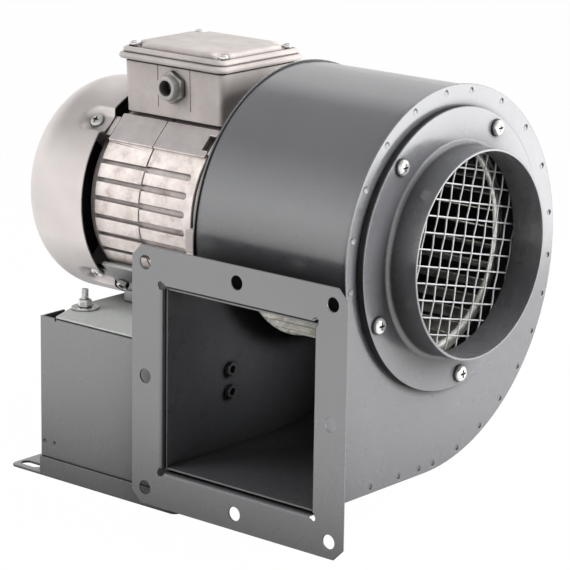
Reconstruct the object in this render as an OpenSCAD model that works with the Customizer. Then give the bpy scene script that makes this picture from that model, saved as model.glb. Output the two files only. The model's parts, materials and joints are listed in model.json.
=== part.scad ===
// Centrifugal fan: scroll housing with inlet spigot and outlet flange, driven by a foot-mounted motor.
// X runs along the shaft towards the inlet, the outlet faces -Y, Z is up.
// The origin is on the shaft axis at the spigot mouth.

/* [Inlet] */
// Outside diameter of the inlet spigot
spigot_od = 160; // [140:1:166]
// Length of the spigot from its mouth to the ring plate
spigot_len = 26; // [20:1:60]
// Wall of the spigot
spigot_t = 2; // [1:0.5:3]
// Radius of the fillet where the spigot meets the ring plate
spigot_fillet = 4; // [2:0.5:6]
// Width of the ring plate outside its screws
ring_rim = 9; // [8:0.5:14]
// Thickness of the ring plate
ring_t = 2; // [1.5:0.5:4]
// Thickness of the gasket under the ring plate
gasket_t = 4; // [3:0.5:8]
// Radial width of the gasket
gasket_w = 14; // [13:0.5:15]
// Diameter of the hole in the inlet side plate
eye_d = 172; // [164:1:176]
// Number of screws in the ring plate
inlet_screw_n = 5; // [3:1:8]
// Distance of the ring plate screws from the eye's edge
inlet_screw_out = 13; // [12:0.5:16]
// Thread diameter of the ring plate screws
inlet_screw_d = 6; // [4:1:6]
// Angle of the first ring plate screw
inlet_screw_a = 60.4; // [0:0.1:72]
// Wire diameter of the guard
wire_d = 1.4; // [1:0.1:1.9]
// Pitch of the guard wires
wire_pitch = 12.7; // [10:0.1:20]
// Gap between the guard disc and the gasket round it
guard_gap = 2.5; // [1:0.5:4]
// Turn of the guard's weave about the shaft
guard_turn = -13; // [-45:1:45]

/* [Scroll] */
// Outside width of the scroll, over both side plates
scroll_w = 148; // [140:1:170]
// Thickness of the side plates
plate_t = 1.5; // [1:0.5:3]
// Thickness of the wrapper band
band_t = 1.5; // [1:0.5:3]
// How far the side plates stand proud of the band
seam_lip = 1.5; // [1:0.5:3]
// Radius of the first arc, from the cut-off over the top
volute_r = 122.5; // [121:0.5:126]
// Growth of the radius in the second arc
volute_grow_2 = 14; // [10:1:18]
// Growth of the radius in the third arc
volute_grow_3 = 23; // [18:1:28]
// Offset of the first arc's centre from the shaft, in Y and in Z
volute_off = 1.5; // [0:0.5:4]
// Height of the outlet duct, outside
duct_h = 145; // [130:1:150]
// Distance of the outlet flange face from the shaft
outlet_y = 155; // [150:1:190]
// Hole in the motor side plate for the shaft
shaft_hole_d = 36; // [32:1:40]

/* [Outlet flange] */
// Thickness of the flange sheet
flange_t = 1.5; // [1:0.5:2]
// Outside radius of the fold into the duct
flange_fold_r = 2.5; // [2.5:0.5:4]
// Width of the flange on each side of the duct
flange_side = 30; // [28:1:40]
// Width of the flange above and below the duct
flange_top = 29; // [28:1:40]
// Corner cut of the flange
flange_cut = 9; // [5:1:12]
// Depth of the lips round the duct
lip_depth = 18; // [10:1:25]
// Radius of the relief notches in the corners of the opening
notch_r = 2.5; // [2:0.5:4]
// How far the duct stops behind the flange face
duct_in = 5; // [3:0.5:8]
// Hole spacing across the flange
flange_hole_x = 181; // [172:1:186]
// Hole spacing up the flange
flange_hole_z = 177; // [168:1:182]
// Diameter of the flange holes
flange_hole_d = 11; // [7:0.5:12]

/* [Impeller] */
// Outside diameter of the impeller
wheel_od = 180; // [170:1:200]
// Distance of the impeller front from the spigot mouth
wheel_front = 47; // [44:1:60]
// Length of the blades
blade_len = 110; // [80:1:112]
// Radial depth of the blades
blade_depth = 11; // [10:0.5:14]
// Number of blades
blade_n = 36; // [24:1:42]
// Thickness of the blade sheet
blade_t = 0.9; // [0.7:0.1:1.2]
// Radius of the blade curve
blade_r = 15; // [14:0.5:20]
// Thickness of the back disc and of the front ring
disc_t = 1.5; // [1:0.5:2]
// Diameter of the hub boss
hub_d = 44; // [40:1:50]
// Diameter of the hub flange
hub_flange_d = 80; // [74:1:90]
// Length of the hub boss on the inlet side of the back disc
hub_len = 24; // [18:1:30]

/* [Motor] */
// Outside diameter of the motor frame over its lands
frame_d = 156; // [152:1:156]
// Length of the motor frame
frame_len = 103; // [98:1:120]
// Distance of the frame's parting line from its drive end
parting_x = 55; // [48:1:60]
// Bore of the motor frame
frame_bore = 126; // [120:1:130]
// Length of the drive end shield between frame and scroll
shield_len = 41; // [36:1:50]
// Angle between the grooves of the frame
groove_pitch = 10.9; // [10:0.1:14]
// Depth of the frame grooves
groove_depth = 3.5; // [2:0.5:5]
// Width of the grooves on the fan half of the frame
groove_w_fan = 3.4; // [2:0.1:5]
// Width of the grooves on the drive half of the frame
groove_w_drive = 5; // [3:0.1:6]
// Distance of the corner pads from the shaft
pad_dist = 80.3; // [80:0.1:81]
// Width of the corner pads
pad_w = 26; // [22:1:28]
// Shift of the corner pads towards the top and the bottom
pad_shift = 5; // [3:0.5:6]
// Length of the stator core
stator_len = 60; // [50:1:64]
// Diameter of the rotor core
rotor_d = 75; // [60:1:80]
// Air gap between rotor and stator
air_gap = 0.4; // [0.3:0.1:1]
// Diameter of the shaft end that carries the impeller
shaft_d = 19; // [16:1:19]
// Diameter of the bearing seats
bearing_bore = 20; // [20:1:22]
// Outside diameter of the bearings
bearing_od = 47; // [46:1:48]
// Width of the bearings
bearing_w = 14; // [12:1:15]
// Number of balls in a bearing
ball_n = 8; // [6:1:8]
// Diameter of the bearing balls
ball_d = 7.9; // [7:0.1:7.9]

/* [Cowl] */
// Outside diameter of the fan cowl
cowl_d = 176; // [172:1:184]
// Length of the fan cowl
cowl_len = 77; // [74:1:90]
// Sheet thickness of the fan cowl
cowl_t = 1.2; // [0.8:0.1:2]
// Radius of the rear edge of the cowl
cowl_edge_r = 35; // [25:1:38]
// How far the cowl edge sits behind the frame's rear end
cowl_gap = 5; // [3:1:8]
// How deep the screw seats are pressed into the cowl
seat_press = 6.5; // [5:0.5:9]
// Distance of the cowl screws from the cowl's open edge
cowl_screw_x = 14; // [12:1:16]
// Diameter of the cooling fan
fan_d = 140; // [120:1:144]
// Number of cooling fan blades
fan_blade_n = 8; // [5:1:10]

/* [Terminal box] */
// Length of the terminal box along the shaft
box_l = 104; // [100:1:112]
// Width of the terminal box
box_w = 90; // [86:1:96]
// Height of the terminal box without its lid
box_h = 41; // [36:1:50]
// Wall of the terminal box
box_wall = 3; // [2:0.5:4]
// Height of the box seat above the shaft
box_seat = 72; // [70:0.5:73]
// Shift of the terminal box towards the scroll
box_shift = 2; // [0:1:4]
// Overhang of the lid round the box
lid_over = 5; // [3:0.5:6]
// Spacing of the lid screws along the shaft
lid_screw_x = 94; // [84:1:95]
// Spacing of the lid screws across the shaft
lid_screw_y = 76; // [72:1:78]
// Width over flats of the cable gland
gland_af = 24; // [20:1:26]
// Bore of the cable gland
gland_bore = 11.6; // [8:0.1:13]
// How far the gland stands proud of the box
gland_out = 10; // [8:1:14]

/* [Pedestal] */
// Height of the shaft above the motor plate
shaft_h = 80; // [80:1:90]
// Height of the shaft above the floor
base_h = 214; // [208:1:240]
// Half of the pedestal's depth, from the shaft to the panel faces
panel_y = 130; // [122:1:140]
// Length of the pedestal along the shaft
panel_l = 153; // [150:1:170]
// Sheet thickness of the pedestal
sheet_t = 2; // [1.5:0.5:3]
// Depth of the panels' free end returns
return_w = 26; // [20:1:40]
// Depth of the panels' end returns against the scroll
scroll_return_w = 60; // [58:1:70]
// Height of the base rails' webs
rail_h = 16; // [12:1:24]
// Width of the base rails' flanges
rail_w = 40; // [34:1:60]
// Length of the rail tabs beyond the pedestal
tab_l = 34; // [30:1:45]
// Length of the slots in the rails
slot_l = 20; // [14:1:22]
// Width of the slots in the rails
slot_w = 9; // [7:0.5:11]
// Spacing of the slots along the rails
slot_x = 147; // [140:1:150]
// Distance of the slots from the rail's outer face
slot_in = 11; // [9:0.5:14]
// Spacing of the motor foot holes along the shaft
foot_hole_x = 44; // [40:1:46]
// Spacing of the motor foot holes across the shaft
foot_hole_y = 100; // [98:1:104]
// Half spacing of the plate studs across the shaft
stud_y = 97; // [95:1:104]

/* [Fits] */
// Radial clearance round bolts in plain holes
bolt_clear = 0.25; // [0.2:0.05:0.5]
// Radial clearance round screws in tapped holes
thread_clear = 0.05; // [0.02:0.01:0.1]
// Radial clearance of parts pressed on the shaft
press_clear = 0.02; // [0.01:0.01:0.05]
// Radial clearance of the running fits
run_clear = 0.05; // [0.02:0.01:0.1]
// Clearance between nested sheet folds
fold_clear = 0.3; // [0.2:0.1:0.5]

/* [Hidden] */
$fn = 48;
// How far cutters run past the faces they cut
eps = 0.5;

// Ring plate, its screws and the guard, from the eye outwards
inlet_screw_pcd = eye_d + 2 * inlet_screw_out;
ring_od = inlet_screw_pcd + 2 * ring_rim;
gasket_in = 0.5;
guard_r = ring_od / 2 - gasket_in - gasket_w - guard_gap;
guard_upright_shift = 2.5;
guard_cross_shift = -2;

// Stations along the shaft
x_ring = -spigot_len;
x_front = x_ring - ring_t - gasket_t;
x_back = x_front - scroll_w;
x_scroll_mid = x_front - scroll_w / 2;
x_wheel = -wheel_front;
x_disc = x_wheel - disc_t - blade_len - disc_t;
x_frame_drive = x_back - shield_len;
x_frame_fan = x_frame_drive - frame_len;
x_parting = x_frame_drive - parting_x;
x_cowl = x_frame_fan - cowl_gap;
x_cowl_rear = x_cowl - cowl_len;
x_box = x_frame_drive - box_l / 2 + box_shift;
x_pedestal = x_back - panel_l;

// Volute arcs: radii and centres, each arc tangent to the next
r_arc = [volute_r, volute_r + volute_grow_2, volute_r + volute_grow_2 + volute_grow_3];
c_arc = [[volute_off, volute_off],
         [volute_off, volute_off - volute_grow_2],
         [volute_off - volute_grow_3, volute_off - volute_grow_2]];
z_bottom = c_arc[2][1] - r_arc[2];
big = 2 * r_arc[2];
z_duct = z_bottom + duct_h;

// Fasteners: thread diameter, head diameter, head height
m4 = [4, 8, 3];
m5 = [5, 11.5, 3.6];
m6_pan = [inlet_screw_d, 2 * inlet_screw_d, 3.2];
m6_hex = [6, 11, 4.5];
m8_hex = [8, 14.5, 5.5];
tap_depth = 12;
tap_room = 1;
inlet_washer_t = 1.2;
inlet_washer_rim = 0.6;

// How far the folds of the flange lap into its flat frame
fold_lap = 3;

// Corner pads of the motor frame: side in Y and side in Z
corners = [[-1, 1], [1, 1], [-1, -1], [1, -1]];
groove_first = 4.7;
pad_notch = [7, 14, 6];
pad_end = 0.5;
parting_w = 0.8;
parting_d = 0.5;
wire_hole_d = 14;
box_screw_x = 18;

// End shields and what sits in them
seat_l = 4;
lug_l = 14;
lug_w = 20;
lug_root = 50;
side_lug = [12, 24, 18];
side_lug_y = 72;
side_lug_z = -20;
shield_bolt_r = 69;
shield_rim = 4;
face_bolt_r = 50;
face_ring_d = 120;
housing_wall = 5;
seal_w = 6;
seal_od = 34;
seal_recess = 0.5;
winding_l = 9;
winding_gap = 6;
wave_t = 1.5;
fan_lug_w = 18;
lug_end = 6;
cowl_lug_l = cowl_gap + cowl_screw_x + lug_end;
x_stator = x_frame_fan + (frame_len - stator_len) / 2;

// Bearings
bearing_pcd = (bearing_od + bearing_bore) / 2;
x_bearing_drive = x_frame_drive - seat_l;
x_bearing_fan = x_frame_fan - 2 * seat_l;
race_t = 3.4;
cage_w = 10;
cage_t = 2;

// Shaft, its tail and the cooling fan
shoulder = 3;
tail_d = 15;
key_w = 6;
key_l = 20;
fan_l = 30;
fan_hub_r = 15;
fan_blade_t = 2.5;
fan_plate_t = 3;
fan_plate_in = 2;
fan_gap = 8;
clip_t = 1.2;
clip_groove = 0.8;
clip_w = 3;
x_fan = x_bearing_fan - bearing_w - fan_gap - fan_l;
x_clip = x_fan - clip_t;
tail_end = 5;
step_gap = 2;
x_shaft_tail = x_clip - tail_end;
x_shaft_step = x_back - seal_w - step_gap;
x_shaft_end = x_disc + hub_len - step_gap;

// Impeller fixings
hub_back = 10;
hub_flange_t = 4;
rivet_n = 6;
rivet_d = 5;
rivet_head = 2;
end_washer_t = 2;
bead_r = 3.5;
ring_lap = 1;

// Cowl seats and rear vents
seat_r = 10;
seat_dist = cowl_d / 2 - seat_press;
vent_rows = 3;
vent_w = 5;
vent_pitch = 10;
vent_r0 = 18;
vent_spokes = 8;
spoke_w = 7;

// Terminal box
box_corner = 6;
gland_up = 25.5;
gland_shift = 1.5;
box_line = [0.8, 28, 17];
boss_r = 5;
gland_z = box_seat + gland_up;
gland_thread = 16;
gland_tail = 6;
locknut = [22, 4];
lid_gasket_t = 1.5;
lid_corner = 8;
lid_rim_h = 7;
lid_step_h = 3;
lid_panel_h = 3.5;
lid_panel_in = 4;
lid_notch = [28, 26];
lid_hollow = [24, 26];
z_lid = box_seat + box_h + lid_gasket_t;
board = [22, 52, 12];
board_x = 34.5;
stud_row = 10;
stud_pitch = 16;
stud_len = 18;
stud_tap = 8;

// Motor feet
foot_t = 3.5;
foot_base_t = 9;
foot_l = 100;
foot_bolt_x = 80;
foot_bolt_s = 12;
foot_arm = [-12, 21];
foot_base_l = 66;
foot_toe = 9;
foot_heel = 40;
foot_web_r = 4;
web_lap = 1;
foot_shift = 4;
x_foot = x_frame_drive - frame_len / 2 - foot_shift;

// Pedestal
z_plate = -shaft_h;
plate_gap = 1;
plate_cut = 32;
panel_bend_r = 2.5;
panel_flange = 46;
return_drop = 18;
rail_end = 6;
rail_corner = 6;
slot_shift = 3;
x_slot = x_pedestal - tab_l / 2 - slot_shift;
stud_in = 17;
stud_up = 16;
stud_washer = [22, 1.6];
stud_nut = [11.5, 6];
stud_head = [11, 4];
nut_h = 6.5;
dimple_r = 2.2;
dimple_x = [4, 15];
dimple_z = 28.5;
pedestal_bolt_in = 50;
pedestal_bolt_z = [-106, -124];

painted = [0.45, 0.46, 0.48];
raw_cast = [0.76, 0.71, 0.68];
cowl_silver = [0.74, 0.73, 0.73];
box_grey = [0.72, 0.70, 0.67];
zinc = [0.80, 0.81, 0.80];
galvanised = [0.78, 0.78, 0.74];
black_rubber = [0.08, 0.08, 0.09];
steel = [0.62, 0.63, 0.65];
copper = [0.72, 0.42, 0.22];
brass = [0.80, 0.66, 0.32];
dark_plastic = [0.15, 0.15, 0.16];

// Point of the lower front pad's plane in Y-Z: s along the pad towards the floor, d outwards
function pad_point(s, d) = sqrt(0.5) * [s - pad_dist - d, -s - pad_dist - d];

// Extrudes a Y-Z outline along X, from x0 over a length
module along_x(x0, len) translate([x0, 0, 0]) rotate([90, 0, 90]) linear_extrude(len) children();

// Revolves a profile drawn as (radius, x) about the shaft axis
module turned() rotate([0, 90, 0]) rotate_extrude($fn = 96) children();

// Rod along X
module rod_x(x0, len, r) translate([x0, 0, 0]) rotate([0, 90, 0]) cylinder(h = len, r = r);

// Tube along X
module tube_x(x0, len, r_out, r_in) difference() {
    rod_x(x0, len, r_out);
    rod_x(x0 - eps, len + 2 * eps, r_in);
}

// Ring-shaped solid along Z: a round or six-sided body with a round hole
module collar(h, d_out, d_in, sides = 48) difference() {
    cylinder(h = h, d = d_out, $fn = sides);
    translate([0, 0, -eps]) cylinder(h = h + 2 * eps, d = d_in);
}

// Places children at equal angles round the shaft, at a radius, starting from +Y
module round_shaft(n, r, a0 = 0)
    for (i = [0 : n - 1]) rotate([a0 + i * 360 / n, 0, 0]) translate([0, r, 0]) children();

// Rounded rectangle, centred
module rounded(w, h, r) {
    square([w - 2 * r, h], center = true);
    square([w, h - 2 * r], center = true);
    for (sx = [-1, 1], sy = [-1, 1]) translate([sx * (w / 2 - r), sy * (h / 2 - r)]) circle(r);
}

// Slot with round ends, along X
module slot(l, w) {
    square([l - w, w], center = true);
    for (sx = [-1, 1]) translate([sx * (l - w) / 2, 0]) circle(d = w);
}

// Screw along -Z with its head above z = 0; six sides give a hexagon head
module screw(size, len, sides = 48) {
    translate([0, 0, -len]) cylinder(h = len, d = size[0]);
    cylinder(h = size[2], d = size[1], $fn = sides);
}

// Turns a child that points along +Z so that it points along +X
module facing_x() rotate([0, 90, 0]) children();

// Turns a child that points along +Z so that it points out of a corner pad, at station x and shift s
module on_pad(side, x, s, dist)
    mirror([0, side[0] < 0 ? 0 : 1, 0]) rotate([side[1] > 0 ? 45 : 135, 0, 0])
        translate([x, side[1] * s, dist]) children();

module inlet_screw_places() round_shaft(inlet_screw_n, inlet_screw_pcd / 2, inlet_screw_a) children();

module face_bolt_places() round_shaft(4, face_bolt_r, 45) children();

module shield_bolt_places() for (c = corners) on_pad(c, x_frame_drive, pad_shift, shield_bolt_r) children();

module cowl_screw_places()
    for (c = corners) on_pad(c, x_cowl - cowl_screw_x, pad_shift, seat_dist) children();

module foot_bolt_places() for (sy = [-1, 1], sx = [-1, 1])
    on_pad([sy, -1], x_foot + sx * foot_bolt_x / 2, foot_bolt_s, pad_dist + foot_t) children();

module foot_base_places() for (sx = [-1, 1], sy = [-1, 1])
    translate([x_foot + sx * foot_hole_x / 2, sy * foot_hole_y / 2, z_plate]) children();

module stud_places() for (x = [x_pedestal + stud_in, x_back - stud_in], sy = [-1, 1])
    translate([x, sy * stud_y, z_plate]) children();

module pedestal_bolt_places() for (sy = [-1, 1], z = pedestal_bolt_z)
    translate([0, sy * (panel_y - pedestal_bolt_in), z]) children();

module lid_screw_places() for (sx = [-1, 1], sy = [-1, 1])
    translate([x_box + sx * lid_screw_x / 2, sy * lid_screw_y / 2, box_seat + box_h]) children();

module box_screw_places() for (sx = [-1, 1]) translate([x_box + sx * box_screw_x, 0, box_seat]) children();

// Outline of the scroll in Y-Z, inset by d; over lengthens the outlet end
module volute(d, over = 0) {
    intersection() {
        translate(c_arc[0]) circle(r_arc[0] - d, $fn = 180);
        translate([volute_off - big, z_duct - d]) square(big);
    }
    intersection() {
        translate(c_arc[1]) circle(r_arc[1] - d, $fn = 180);
        translate(c_arc[1]) square(big);
    }
    intersection() {
        translate(c_arc[2]) circle(r_arc[2] - d, $fn = 180);
        translate([c_arc[2][0], c_arc[2][1] - big]) square(big);
    }
    translate([duct_in - outlet_y - over, z_bottom + d])
        square([outlet_y - duct_in + over + c_arc[2][0], duct_h - 2 * d]);
}

// Wrapper of the scroll, between the side plates
module scroll_band() color(painted) along_x(x_back + plate_t, scroll_w - 2 * plate_t) difference() {
    volute(seam_lip);
    volute(seam_lip + band_t, eps);
}

module inlet_side_plate() color(painted) difference() {
    along_x(x_front - plate_t, plate_t) volute(0);
    rod_x(x_front - plate_t - eps, plate_t + 2 * eps, eye_d / 2);
    inlet_screw_places() rod_x(x_front - plate_t - eps, plate_t + 2 * eps, inlet_screw_d / 2 + thread_clear);
}

module motor_side_plate() color(painted) difference() {
    along_x(x_back, plate_t) volute(0);
    rod_x(x_back - eps, plate_t + 2 * eps, shaft_hole_d / 2);
    face_bolt_places() rod_x(x_back - eps, plate_t + 2 * eps, m6_hex[0] / 2 + bolt_clear);
    pedestal_bolt_places() rod_x(x_back - eps, plate_t + 2 * eps, m6_hex[0] / 2 + bolt_clear);
}

// Section of a flange lip with its fold: depth behind the flange face, then distance from the duct
module lip_section() {
    translate([flange_fold_r, 0]) square([lip_depth - flange_fold_r, flange_t]);
    translate([0, flange_fold_r]) square([flange_t, fold_lap]);
    intersection() {
        translate([flange_fold_r, flange_fold_r]) difference() {
            circle(flange_fold_r);
            circle(flange_fold_r - flange_t);
        }
        square(flange_fold_r);
    }
}

module flange_lip(len) translate([0, -outlet_y, 0]) along_x(-len / 2, len) lip_section();

// Outlet flange: flat frame with cut corners, and lips folded back round the duct
module outlet_flange() color(painted) translate([x_scroll_mid, 0, z_bottom + duct_h / 2]) {
    w = scroll_w + 2 * flange_side;
    h = duct_h + 2 * flange_top;
    open = [scroll_w + 2 * flange_fold_r, duct_h + 2 * flange_fold_r];
    translate([0, flange_t - outlet_y, 0]) rotate([90, 0, 0]) linear_extrude(flange_t) difference() {
        intersection() {
            square([w, h], center = true);
            rotate(45) square((w + h - 2 * flange_cut) * sqrt(0.5), center = true);
        }
        square(open, center = true);
        for (sx = [-1, 1], sz = [-1, 1])
            translate([sx * (open[0] - notch_r) / 2, sz * (open[1] - notch_r) / 2]) circle(notch_r);
        for (ix = [-1 : 1], iz = [-1 : 1]) if (ix != 0 || iz != 0)
            translate([ix * flange_hole_x / 2, iz * flange_hole_z / 2]) circle(d = flange_hole_d);
    }
    for (turn = [0, 180]) {
        rotate([0, turn, 0]) translate([0, 0, duct_h / 2]) flange_lip(scroll_w - 2 * notch_r);
        rotate([0, turn + 90, 0]) translate([0, 0, scroll_w / 2]) flange_lip(duct_h - 2 * notch_r);
    }
}

// Ring plate with the spigot drawn out of it
module inlet_ring() color(painted) difference() {
    r = spigot_od / 2;
    turned() {
        translate([r - spigot_t, x_ring - ring_t]) square([spigot_t, spigot_len + ring_t]);
        translate([r - spigot_t, x_ring - ring_t]) square([ring_od / 2 - r + spigot_t, ring_t]);
        translate([r, x_ring]) difference() {
            square(spigot_fillet);
            translate([spigot_fillet, spigot_fillet]) circle(spigot_fillet);
        }
    }
    inlet_screw_places() rod_x(x_ring - ring_t - eps, ring_t + 2 * eps, inlet_screw_d / 2 + bolt_clear);
}

module inlet_gasket() color(black_rubber) difference() {
    tube_x(x_front, gasket_t, ring_od / 2 - gasket_in, ring_od / 2 - gasket_in - gasket_w);
    inlet_screw_places() rod_x(x_front - eps, gasket_t + 2 * eps, inlet_screw_d / 2 + bolt_clear);
}

// Guard wires in one direction, shifted from the middle and cut to the guard's circle
module guard_wires(x, shift) {
    n = floor(guard_r / wire_pitch);
    for (i = [-n : n]) let (v = i * wire_pitch + shift) if (abs(v) < guard_r - 2 * wire_d)
        let (half = sqrt(pow(guard_r, 2) - v * v))
            translate([x, v, -half]) cylinder(h = 2 * half, d = wire_d, $fn = 24);
}

module guard_upright_wires() color(zinc) rotate([guard_turn, 0, 0])
    guard_wires(x_ring - ring_t - wire_d / 2, guard_upright_shift);

module guard_cross_wires() color(zinc) rotate([guard_turn + 90, 0, 0])
    guard_wires(x_ring - ring_t - wire_d * 3 / 2, guard_cross_shift);

module inlet_screws() color(zinc) inlet_screw_places() translate([x_ring + inlet_washer_t, 0, 0]) facing_x()
    screw(m6_pan, inlet_washer_t + ring_t + gasket_t + plate_t + seat_l);

module inlet_screw_washers() color(dark_plastic) inlet_screw_places()
    tube_x(x_ring, inlet_washer_t, inlet_screw_d + inlet_washer_rim, inlet_screw_d / 2 + bolt_clear);

// One groove on the -Y side of the frame: narrow over the fan half, wider over the drive half
module groove() {
    y0 = -frame_d / 2 - eps;
    drive_end = x_frame_drive - 2 * groove_w_drive;
    translate([x_frame_fan - eps, y0, -groove_w_fan / 2])
        cube([x_parting - x_frame_fan + eps, groove_depth + eps, groove_w_fan]);
    translate([x_parting, y0, -groove_w_drive / 2])
        cube([drive_end - x_parting, groove_depth + eps, groove_w_drive]);
    translate([drive_end, y0 + groove_depth + eps, 0]) rotate([90, 0, 0])
        cylinder(h = groove_depth + eps, d = groove_w_drive);
}

// Die-cast frame: lands and grooves on its sides, flat pads on its corners, a flat seat on top
module motor_frame() color(raw_cast) difference() {
    union() {
        rod_x(x_frame_fan, frame_len, frame_d / 2);
        for (c = corners) on_pad(c, x_frame_fan + pad_end, pad_shift, frame_bore / 2)
            translate([0, -pad_w / 2, 0]) cube([frame_len - 2 * pad_end, pad_w, pad_dist - frame_bore / 2]);
    }
    rod_x(x_frame_fan - eps, frame_len + 2 * eps, frame_bore / 2);
    translate([x_frame_fan - eps, -big / 2, box_seat]) cube([frame_len + 2 * eps, big, big]);
    for (m = [0, 1]) mirror([0, m, 0]) {
        for (i = [-3 : 2]) rotate([-groove_first - i * groove_pitch, 0, 0]) groove();
        rotate([90 - groove_pitch, 0, 0]) groove();
    }
    rotate([90, 0, 0]) groove();
    for (c = corners) on_pad(c, x_frame_drive - pad_notch[0], pad_shift, pad_dist - pad_notch[2])
        translate([0, -pad_notch[1] / 2, 0]) cube(pad_notch + [eps, 0, eps]);
    tube_x(x_parting - parting_w / 2, parting_w, big / 2, frame_d / 2 - parting_d);
    shield_bolt_places()
        rod_x(-tap_depth - tap_room, tap_depth + tap_room + eps, m6_hex[0] / 2 + thread_clear);
    foot_bolt_places() translate([0, 0, -foot_t - tap_depth])
        cylinder(h = tap_depth + eps, d = m6_hex[0] + 2 * thread_clear);
    box_screw_places() translate([0, 0, -stud_tap])
        cylinder(h = stud_tap + eps, d = m4[0] + 2 * thread_clear);
    translate([x_box, 0, frame_bore / 2 - eps]) cylinder(h = big, d = wire_hole_d);
}

// Drive end shield: rim on the frame, neck with the mounting face against the scroll, bearing housing
module drive_end_shield() color(raw_cast) difference() {
    union() {
        rod_x(x_frame_drive, lug_l, frame_d / 2 - 2);
        rod_x(x_frame_drive, shield_len, face_ring_d / 2);
        rod_x(x_frame_drive - seat_l, seat_l, frame_bore / 2 - thread_clear);
        rod_x(x_bearing_drive - bearing_w, bearing_w, bearing_od / 2 + housing_wall);
        for (c = corners) on_pad(c, x_frame_drive, pad_shift, lug_root)
            translate([0, -lug_w / 2, 0]) cube([lug_l, lug_w, pad_dist - eps - lug_root]);
        for (sy = [-1, 1]) translate([x_frame_drive, sy * side_lug_y - side_lug[1] / 2, side_lug_z])
            cube(side_lug);
    }
    rod_x(x_bearing_drive - bearing_w - eps, bearing_w + eps, bearing_od / 2 + press_clear);
    rod_x(x_bearing_drive - eps, shield_len + seat_l + 2 * eps, bearing_bore / 2 + 2);
    rod_x(x_back - seal_w, seal_w + eps, seal_od / 2 + press_clear);
    translate([x_frame_drive - big, -big / 2, box_seat]) cube([big + box_shift + fold_clear, big, big]);
    shield_bolt_places() rod_x(-eps, lug_l + 2 * eps, m6_hex[0] / 2 + bolt_clear);
    face_bolt_places() rod_x(x_back - tap_depth, tap_depth + eps, m6_hex[0] / 2 + thread_clear);
}

// Fan end shield: rim on the frame, bearing housing, and lugs that carry the cowl
module fan_end_shield() color(raw_cast) difference() {
    housing = bearing_w + wave_t + housing_wall;
    union() {
        rod_x(x_frame_fan - 2 * seat_l, 2 * seat_l, frame_d / 2 - shield_rim);
        rod_x(x_frame_fan, seat_l, frame_bore / 2 - thread_clear);
        rod_x(x_bearing_fan - housing, housing, bearing_od / 2 + housing_wall);
        for (c = corners) on_pad(c, x_frame_fan - cowl_lug_l, pad_shift, lug_root)
            translate([0, -fan_lug_w / 2, 0]) cube([cowl_lug_l, fan_lug_w, seat_dist - cowl_t - lug_root]);
    }
    rod_x(x_bearing_fan - bearing_w - wave_t, big, bearing_od / 2 + press_clear);
    rod_x(x_bearing_fan - big / 2, big, bearing_bore / 2 + 2);
    cowl_screw_places() translate([0, 0, -cowl_t - tap_depth])
        cylinder(h = tap_depth + eps, d = m5[0] + 2 * thread_clear);
}

module shield_bolts() color(zinc) shield_bolt_places() translate([lug_l, 0, 0]) facing_x()
    screw(m6_hex, lug_l + tap_depth, 6);

module motor_face_bolts() color(zinc) face_bolt_places() translate([x_back + plate_t, 0, 0]) facing_x()
    screw(m6_hex, plate_t + tap_depth - tap_room, 6);

module stator_core() color(steel)
    tube_x(x_stator, stator_len, frame_bore / 2 - press_clear, rotor_d / 2 + air_gap);

module stator_windings() color(copper) for (x = [x_stator - winding_l, x_stator + stator_len])
    tube_x(x, winding_l, frame_bore / 2 - winding_gap, rotor_d / 2 + winding_gap);

// Track for the balls, halfway between the two rings of the bearing that ends at x
module ball_track(x) turned() translate([bearing_pcd / 2, x - bearing_w / 2]) circle(ball_d / 2 + run_clear);

module outer_ring(x) difference() {
    tube_x(x - bearing_w, bearing_w, bearing_od / 2, bearing_od / 2 - race_t);
    ball_track(x);
}

module inner_ring(x) difference() {
    tube_x(x - bearing_w, bearing_w, bearing_bore / 2 + race_t, bearing_bore / 2 + press_clear);
    ball_track(x);
}

module ball_places(x) round_shaft(ball_n, bearing_pcd / 2) translate([x - bearing_w / 2, 0, 0]) children();

// Balls of a bearing, with a cage that has a round pocket for each
module caged_balls(x) {
    ball_places(x) sphere(d = ball_d);
    difference() {
        tube_x(x - (bearing_w + cage_w) / 2, cage_w, (bearing_pcd + cage_t) / 2, (bearing_pcd - cage_t) / 2);
        ball_places(x) rotate([90, 0, 0])
            cylinder(h = 2 * cage_t, d = ball_d + 2 * run_clear, center = true);
    }
}

module drive_bearing_outer_ring() color(steel) outer_ring(x_bearing_drive);
module fan_bearing_outer_ring() color(steel) outer_ring(x_bearing_fan);
module drive_bearing_inner_ring() color(steel) inner_ring(x_bearing_drive);
module fan_bearing_inner_ring() color(steel) inner_ring(x_bearing_fan);
module drive_bearing_balls() color(zinc) caged_balls(x_bearing_drive);
module fan_bearing_balls() color(zinc) caged_balls(x_bearing_fan);

module wave_washer() color(steel) tube_x(x_bearing_fan - bearing_w - wave_t, wave_t,
                                         bearing_od / 2 - press_clear, bearing_od / 2 - race_t);

module shaft_seal() color(black_rubber)
    tube_x(x_back - seal_w, seal_w - seal_recess, seal_od / 2, shaft_d / 2 + run_clear);

// Section of the cowl as (radius, x), inset by d
module cowl_section(d) {
    flat_r = cowl_d / 2 - cowl_edge_r;
    translate([0, x_cowl_rear + cowl_edge_r]) square([cowl_d / 2 - d, cowl_len - cowl_edge_r]);
    translate([0, x_cowl_rear + d]) square([flat_r, cowl_edge_r]);
    translate([flat_r, x_cowl_rear + cowl_edge_r]) intersection() {
        circle(cowl_edge_r - d, $fn = 96);
        translate([0, -cowl_edge_r]) square(cowl_edge_r);
    }
}

// Space of one pressed screw seat, open to the cowl's edge: grown by g, from dist outwards
module seat_space(g, dist) {
    translate([0, 0, dist]) cylinder(h = cowl_edge_r, r = seat_r + g);
    translate([0, -seat_r - g, dist]) cube([cowl_screw_x + eps, 2 * (seat_r + g), cowl_edge_r]);
}

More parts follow.
